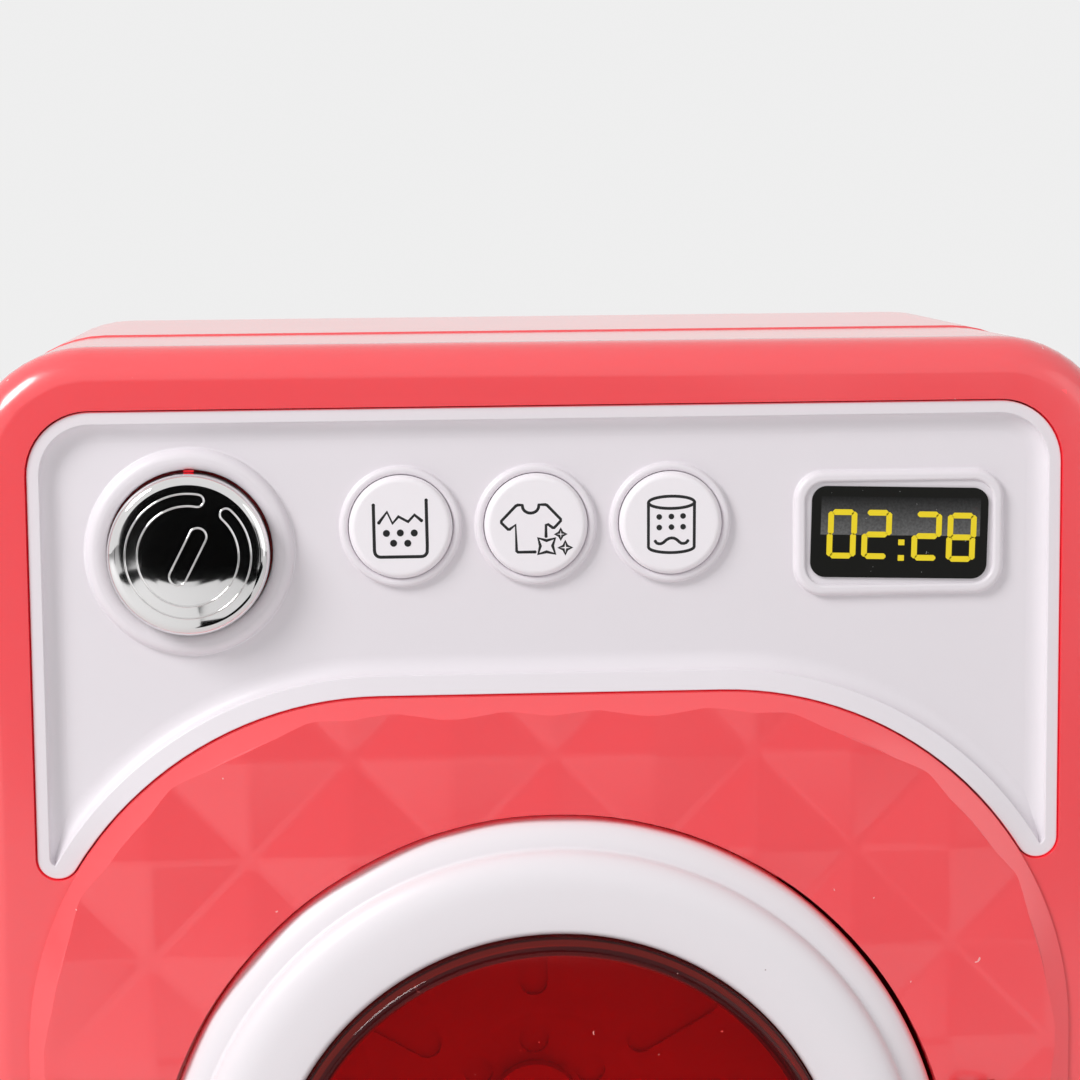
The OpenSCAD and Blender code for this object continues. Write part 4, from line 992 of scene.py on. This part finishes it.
def line_of(centre, points, width, closed=False):
    """A flattened line through points in millimetres, with round ends."""
    width *= INK_SPREAD
    line = tube("line", [(x * mm, 0, z * mm) for x, z in points], width, closed, 3)
    line.scale = (1, 2 * INK_RISE / width, 1)
    line.location = (centre.x, FRONT + PRINT_Y * mm, centre.z)
    settle(line)
    return [line] + ([] if closed else [dot(centre, *points[i], width / 2) for i in (0, -1)])


def join(parts, name):
    """Joins the parts of a printed piece."""
    piece = join_into(*parts)
    piece.name = name
    open_edit(piece)
    face_outwards()
    return piece


def print_sign(key, parts):
    """Joins a sign's lines and lets it ride on its button."""
    finish(join(parts, key + "_sign"), BODY_OF[key + "_button"], "label_black", INK)


def star(cx, cz, out, inner):
    """A four-pointed sparkle."""
    points = []
    for k in range(8):
        reach = out if k % 2 == 0 else inner
        a = math.radians(45 * k)
        points.append((cx + reach * math.cos(a), cz + reach * math.sin(a)))
    return points


# %% The caps
CROWN = [(0, 0.39), (5.43, 0.39)] + bend(5.43, 1.09, 0.7, 85, 0, 8)
CROWN += [(6.14, 1.12), (6.23, 1.14), (6.23, 2.3), (0, 2.3)]
for node in KEYS:
    cap = smooth_copy(node, angle=60)
    crown = turned(middle(node), CROWN, "crown", 96)
    smooth(crown, 30)
    join_into(cap, crown)
    finish_as(cap, node, PAINTED_LIT_WHITE)
print("cap front at", CAP_Y, "mm")

# %% The sign of the first button: a tub of suds
wash, clothes, program = BUTTONS
tub = [(-3.26, 2.74), (-3.2, -2.7)] + arc(-2.45, -2.85, 0.72, 0.68, 190, 270, 5)
tub += arc(2.4, -2.85, 0.72, 0.68, 270, 350, 5) + [(3.13, -2.2), (3.06, 3.26)]
suds = [(-2.62, 0.62), (-1.64, 1.9), (-1.0, 0.51), (-0.28, 1.33), (0.87, 0.69), (1.64, 1.51), (2.46, 0.82)]
bubbles = [(-1.74, -0.67), (-0.08, -0.64), (1.59, -0.67), (-0.9, -1.87), (0.8, -1.9)]
parts = line_of(wash, tub, 0.3) + line_of(wash, suds, 0.3)
print_sign("wash", parts + [dot(wash, x, z, 0.42) for x, z in bubbles])

# %% The sign of the second button: a clean shirt
left = [(-0.2, -3.2), (-2.25, -3.2), (-2.4, -3.05), (-2.5, 0.1), (-3.2, -0.42), (-3.42, -0.42),
        (-4.2, 0.36), (-4.2, 0.6), (-2.45, 2.4), (-2.2, 2.5), (-1.67, 2.47)]
left += arc(-0.68, 2.35, 0.98, 0.85, 178, 362, 12)
right = [(0.31, 2.5), (1.1, 2.5), (1.3, 2.42), (2.92, 0.72), (2.92, 0.5), (2.15, -0.3), (1.95, -0.3),
         (1.42, 0.1), (1.15, 0.02), (1.15, -1.33)]
glint = [(0.2, -1.54), (1.2, -1.85), (2.23, -1.59), (1.92, -2.49), (2.23, -3.46), (1.2, -3.2), (0.2, -3.46),
         (0.46, -2.49)]
parts = line_of(clothes, left + right, 0.28) + line_of(clothes, glint, 0.29, closed=True)
for cx, cz, out, inner in ((2.92, -1.1, 0.66, 0.26), (3.46, -2.74, 0.8, 0.3)):
    parts += line_of(clothes, star(cx, cz, out, inner), 0.26, closed=True)
print_sign("clothes", parts)

# %% The sign of the third button: a drum
drum_side = [(-2.73, 2.5), (-2.76, -2.85)] + arc(0.02, -2.85, 2.76, 0.7, 184, 356, 24)
drum_side += [(2.78, -2.8), (2.83, 2.5)]
wave = [(-1.92, -2.15), (-1.75, -2.38), (-1.5, -2.46), (-1.2, -2.45), (-0.9, -2.28), (-0.6, -2.0),
        (-0.25, -1.82), (0.05, -1.77), (0.38, -1.82), (0.7, -2.0), (0.98, -2.28), (1.25, -2.45),
        (1.55, -2.46), (1.8, -2.38), (2.0, -2.15)]
holes = [(-1.44, 0.79), (0.03, 0.82), (1.44, 0.87), (-1.44, -0.49), (0.03, -0.46), (1.44, -0.44)]
parts = line_of(program, arc(0.05, 2.54, 2.78, 0.74, 0, 360, 36)[:-1], 0.28, closed=True)
parts += line_of(program, drum_side, 0.28) + [dot(program, x, z, 0.34) for x, z in holes]
print_sign("program", parts + line_of(program, wave, 0.28))

# %% [markdown]
# ## The power knob
#
# The knob is a plated dome with the on-off sign standing up on it as fine beads of metal: an
# open ring, drawn as an outline, and a slanting bar in its gap. The beads follow the dome, so
# each point of a line is lifted to the dome's own height at its distance from the middle.

# %% Knob and its raised sign
DOME_R, DOME_EDGE_Y, DOME_H = 8.05, -2.4, 0.6


def bead_line(points, width, name):
    """A raised closed bead of metal that follows the dome."""
    on_dome = []
    for x, z in points:
        r = min(1.0, math.hypot(x, z) / DOME_R)
        y = DOME_EDGE_Y - DOME_H * (1 - r * r)
        on_dome.append((x * mm, (y - 0.02) * mm, z * mm))
    bead = tube(name, on_dome, width, True, 4)
    bead.location = (KNOB.x, FRONT, KNOB.z)
    settle(bead)
    smooth(bead, 60, weighted=False)
    return bead


def polar(r, clock):
    """A point by its radius and its clockwise angle from the top."""
    a = math.radians(clock)
    return (r * math.sin(a), r * math.cos(a))


def end_cap(clock, forward):
    """Half a circle that rounds off the end of the open ring."""
    cx, cz = polar((RING_OUT + RING_IN) / 2, clock)
    c, half = math.radians(clock), (RING_OUT - RING_IN) / 2
    points = []
    for a in [math.radians(180 * k / 8) for k in range(1, 8)]:
        along, across = math.sin(a) * half * forward, math.cos(a) * half
        points.append((cx + across * math.sin(c) + along * math.cos(c),
                       cz + across * math.cos(c) - along * math.sin(c)))
    return points


RING_OUT, RING_IN, BEAD_W = 7.45, 6.0, 0.24
START, STOP, STEPS = 43, 371, 96
band = [polar(RING_OUT, START + (STOP - START) * k / STEPS) for k in range(STEPS + 1)]
band += end_cap(STOP, 1)
band += [polar(RING_IN, STOP - (STOP - START) * k / STEPS) for k in range(STEPS + 1)]
band += list(reversed(end_cap(START, -1)))
slant = math.radians(27)
HALF_LEN, HALF_W = 2.65, 1.05
bar = []
for a in [2 * math.pi * k / 24 for k in range(24)]:
    along = math.cos(a) * HALF_W + (HALF_LEN if math.cos(a) > 0 else -HALF_LEN)
    across = math.sin(a) * HALF_W
    bar.append((along * math.sin(slant) + across * math.cos(slant),
                along * math.cos(slant) - across * math.sin(slant)))
knob = smooth_copy("power_knob", angle=35)
join_into(knob, bead_line(band, BEAD_W, "ring_bead"), bead_line(bar, BEAD_W, "bar_bead"))
finish_as(knob, "power_knob", CHROME)
report("knob", knob)

# %% The small red mark above the knob
mark_place = Vector((KNOB.x + 0.1 * mm, FRONT + 1.35 * mm, KNOB.z + 9.78 * mm))
mark = block(mark_place, (1.25, 0.5, 0.22), "knob_mark")
apply_modifier(mark, "BEVEL", width=0.04 * mm, segments=2)
# The mark is a rib of the coral; its deeper red is painted shade and red bounce light inside the knob's gap.
MARK_PAINTED_SHADE_RED = plastic("coral_rib_painted_shade", (0.80, 0.006, 0.02), gloss=0.3, peel=0.0)
finish(mark, "cabinet", "coral_abs", MARK_PAINTED_SHADE_RED)
report("mark", mark)

# %% [markdown]
# ## The display
#
# The display is no display at all, but a printed label: black, with a grey veil over its
# upper half that pretends to be a reflection, and a time in yellow strokes. The veil belongs
# to the label's finish, because it has no thickness. The digits are built from one stroke, a
# small plate with clipped corners, copied to each place of a seven-stroke digit.

# %% The label's finish
TILT = -1.6
LABEL_PRINT, tree, shader, place = new_material("printed_label")
turn = add(tree, "Mapping", vector_type="TEXTURE", in_Vector=place, in_Location=(LABEL.x, 0, LABEL.z),
           in_Rotation=(0, math.radians(-TILT), 0))
axes = add(tree, "SeparateXYZ", in_0=turn)
low, high = -0.35 * mm, 4.3 * mm
wide = within(tree, axes, -9.65 * mm, 9.85 * mm)
veil = math_of(tree, "MULTIPLY", wide, within(tree, axes.outputs["Z"], low, high))
fade = rescale(tree, axes.outputs["Z"], 0.125, 0.010, low, high)
grain = add(tree, "TexNoise", in_Vector=place, in_Scale=3500.0, in_Detail=2.0)
grey = math_of(tree, "MULTIPLY", fade, rescale(tree, grain, 0.75, 1.25))
tone = add(tree, "CombineColor", in_0=grey, in_1=grey, in_2=grey)
veiled = blend(tree, veil, (0.006, 0.006, 0.005, 1), tone)
feed(shader, Base_Color=dusted(tree, place, veiled, (0.35, 0.35, 0.35, 1), 0.02, 2600.0, 0.16),
     Roughness=0.3, Specular_IOR_Level=0.3)
print("label:", LABEL_PRINT.name)

# %% One stroke, and the digits made of it
YELLOW = plastic("yellow_print", (0.88, 0.68, 0.012), gloss=0.4, peel=0.0, shift=0.02)
DIGIT_W, DIGIT_H, STROKE = 3.55, 6.0, 0.7
LABEL_Y = depth_of(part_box("display_label")[0])
label_turn = Matrix.Rotation(math.radians(-TILT), 3, "Y")


def stroke(x, z, length, upright=False, chamfer=0.24):
    """A clipped plate lying on the label, given in millimetres from the label's middle."""
    middle_of_label = Vector((LABEL.x, FRONT + (LABEL_Y - 0.012) * mm, LABEL.z))
    spot = middle_of_label + label_turn @ Vector((x * mm, 0, z * mm))
    size = (STROKE, 0.04, length) if upright else (length, 0.04, STROKE)
    plate = block(Vector((0, 0, 0)), size, "stroke")
    bevel_depth_edges(plate, chamfer, 1)
    close_edit()
    plate.matrix_world = Matrix.Translation(spot) @ label_turn.to_4x4()
    settle(plate)
    return plate


LIT = {"0": "abcdef", "2": "abged", "8": "abcdefg"}
LEAN, GAP = 0.04, 0.07


def digit(sign, x, z):
    """The strokes of one digit, about its middle."""
    w, h = DIGIT_W / 2 - STROKE / 2, DIGIT_H / 2 - STROKE / 2
    flat_len, tall_len = DIGIT_W - 1.0, h - 2 * GAP + 0.28
    spots = {"a": (0, h), "g": (0, 0), "d": (0, -h),
             "b": (w, h / 2), "c": (w, -h / 2), "f": (-w, h / 2), "e": (-w, -h / 2)}
    made = []
    for key in LIT[sign]:
        sx, sz = spots[key]
        upright = sx != 0
        made.append(stroke(x + sx + LEAN * sz, z + sz, tall_len if upright else flat_len, upright))
    return made


parts = []
for sign, x, z in (("0", -7.05, -0.25), ("2", -2.8, -0.27), ("2", 3.32, -0.4), ("8", 7.58, -0.5)):
    parts += digit(sign, x, z)
parts += [stroke(0.25, z, 0.76, chamfer=0.04) for z in (-1.2, -3.1)]
time = join(parts, "display_time")
finish(time, "cabinet", "label_black", YELLOW)
report("time", time)

# %% [markdown]
# ## Everything that the engineering model already shapes
#
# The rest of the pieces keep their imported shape. Each is merged and smoothed as the shells
# were, and takes the finish of its slot.

# %% The rest of the pieces
FINISH.update(red_window=CLEAR_RED, label_black=LABEL_PRINT)
for node in frame["nodes"]:
    if node not in finished:
        skins[node] = smooth_copy(node, FINISH[SLOT_OF[node]], 35)
print("pieces:", len(frame["nodes"]))

# %% [markdown]
# ## What gets shorter under a finger
#
# The rubber domes and the knob's coil spring stand on the circuit board, and get shorter as
# they are pressed, each of them only losing height, by its joint's travel. Here each of them
# only gets a mesh of its own; no squash is set up.

# %% Domes and spring get meshes of their own
for joint in frame["joints"]:
    for soft in joint.get("deforming_nodes", []):
        if soft["mode"] != "scale_y":
            continue
        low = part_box(soft["node"])[0]
        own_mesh(skins[soft["node"]])

# %% [markdown]
# ## Floor, light and world
#
# A pale floor, a large soft lamp from the upper left and a dim one from the right light the
# machine at a plain level, so that each colour renders about as it is written. The world is
# pale wherever the camera, a mirror or a pane looks at it.

# %% Stage
deselect()
bpy.ops.mesh.primitive_plane_add(size=4, location=(0, 0, 0))
floor = bpy.context.object
floor.name = "floor"
pale = plastic("pale_floor", (0.86, 0.86, 0.86), gloss=0.6, peel=0.0, shift=0.0, specular=0.0)
floor.data.materials.append(pale)


def lamp(name, place, aim, size, power):
    """A round lamp of this diameter that shines at a point."""
    data = bpy.data.lights.new(name, "AREA")
    data.shape = "DISK"
    data.size = size
    data.energy = power
    thing = new_object(name, data)
    thing.location = place
    thing.rotation_euler = (Vector(aim) - Vector(place)).to_track_quat("-Z", "Y").to_euler()


lamp("key", (-0.75, -0.55, 0.80), (0, 0, 0.12), 0.45, 9.0)
lamp("fill", (0.8, -0.7, 0.35), (0, 0, 0.1), 0.8, 1.2)


def flag(name, size, place, turn, round_card=False):
    """A black card beside the camera that only mirrors and glossy surfaces see."""
    deselect()
    if round_card:
        bpy.ops.mesh.primitive_circle_add(vertices=64, radius=0.5, fill_type="NGON",
                                          location=place, rotation=turn)
    else:
        bpy.ops.mesh.primitive_plane_add(size=1, location=place, rotation=turn)
    card = bpy.context.object
    card.name = name
    card.scale = (size[0], size[1], 1)
    material = bpy.data.materials.new(name)
    material.use_nodes = True
    tree = material.node_tree
    tree.nodes.remove(tree.nodes["Principled BSDF"])
    black = add(tree, "BsdfDiffuse", in_Color=(0.004, 0.004, 0.004, 1))
    glossy = add(tree, "LightPath").outputs["Is Glossy Ray"]
    mix = add(tree, "MixShader", in_0=glossy, in_1=add(tree, "BsdfTransparent"), in_2=black)
    feed(tree.nodes["Material Output"], Surface=mix)
    card.data.materials.append(material)


UPRIGHT, LEVEL = (math.pi / 2, 0, 0), (0, 0, 0)
flag("flag_behind_camera", (0.47, 0.45), (-0.085, -0.9, 0.085), UPRIGHT, round_card=True)
flag("flag_on_floor", (0.45, 0.44), (-0.085, -0.87, 0.001), LEVEL, round_card=True)
flag("flag_for_the_display", (0.12, 0.20), (0.235, -0.9, 0.10), UPRIGHT)
flag("flag_left", (0.06, 0.10), (-0.50, -0.9, 0.05), UPRIGHT)
flag("flag_for_the_window", (0.16, 0.17), (0.03, -0.365, 0.001), LEVEL)
flag("flag_for_the_surround", (0.30, 0.42), (0.26, -0.67, 0.001), LEVEL)

world = bpy.data.worlds.new("pale_world")
scene.world = world
world.use_nodes = True
sky = world.node_tree
sky.nodes.clear()
lit = add(sky, "Background", in_Color=(1, 1, 1, 1), in_Strength=0.42)
seen = add(sky, "Background", in_Color=(0.86, 0.86, 0.86, 1), in_Strength=1.0)
path = add(sky, "LightPath").outputs
looked_at = math_of(sky, "MAXIMUM", path["Is Camera Ray"], path["Is Glossy Ray"])
looked_at = math_of(sky, "MAXIMUM", looked_at, path["Is Transmission Ray"])
add(sky, "OutputWorld", in_Surface=add(sky, "MixShader", in_0=looked_at, in_1=lit, in_2=seen))
scene.view_settings.view_transform = "Standard"
cycles = scene.cycles
cycles.max_bounces, cycles.diffuse_bounces, cycles.transmission_bounces = 16, 8, 12
print("lamps, cards and world are in place")

# %% Finish
bpy.context.view_layer.update()
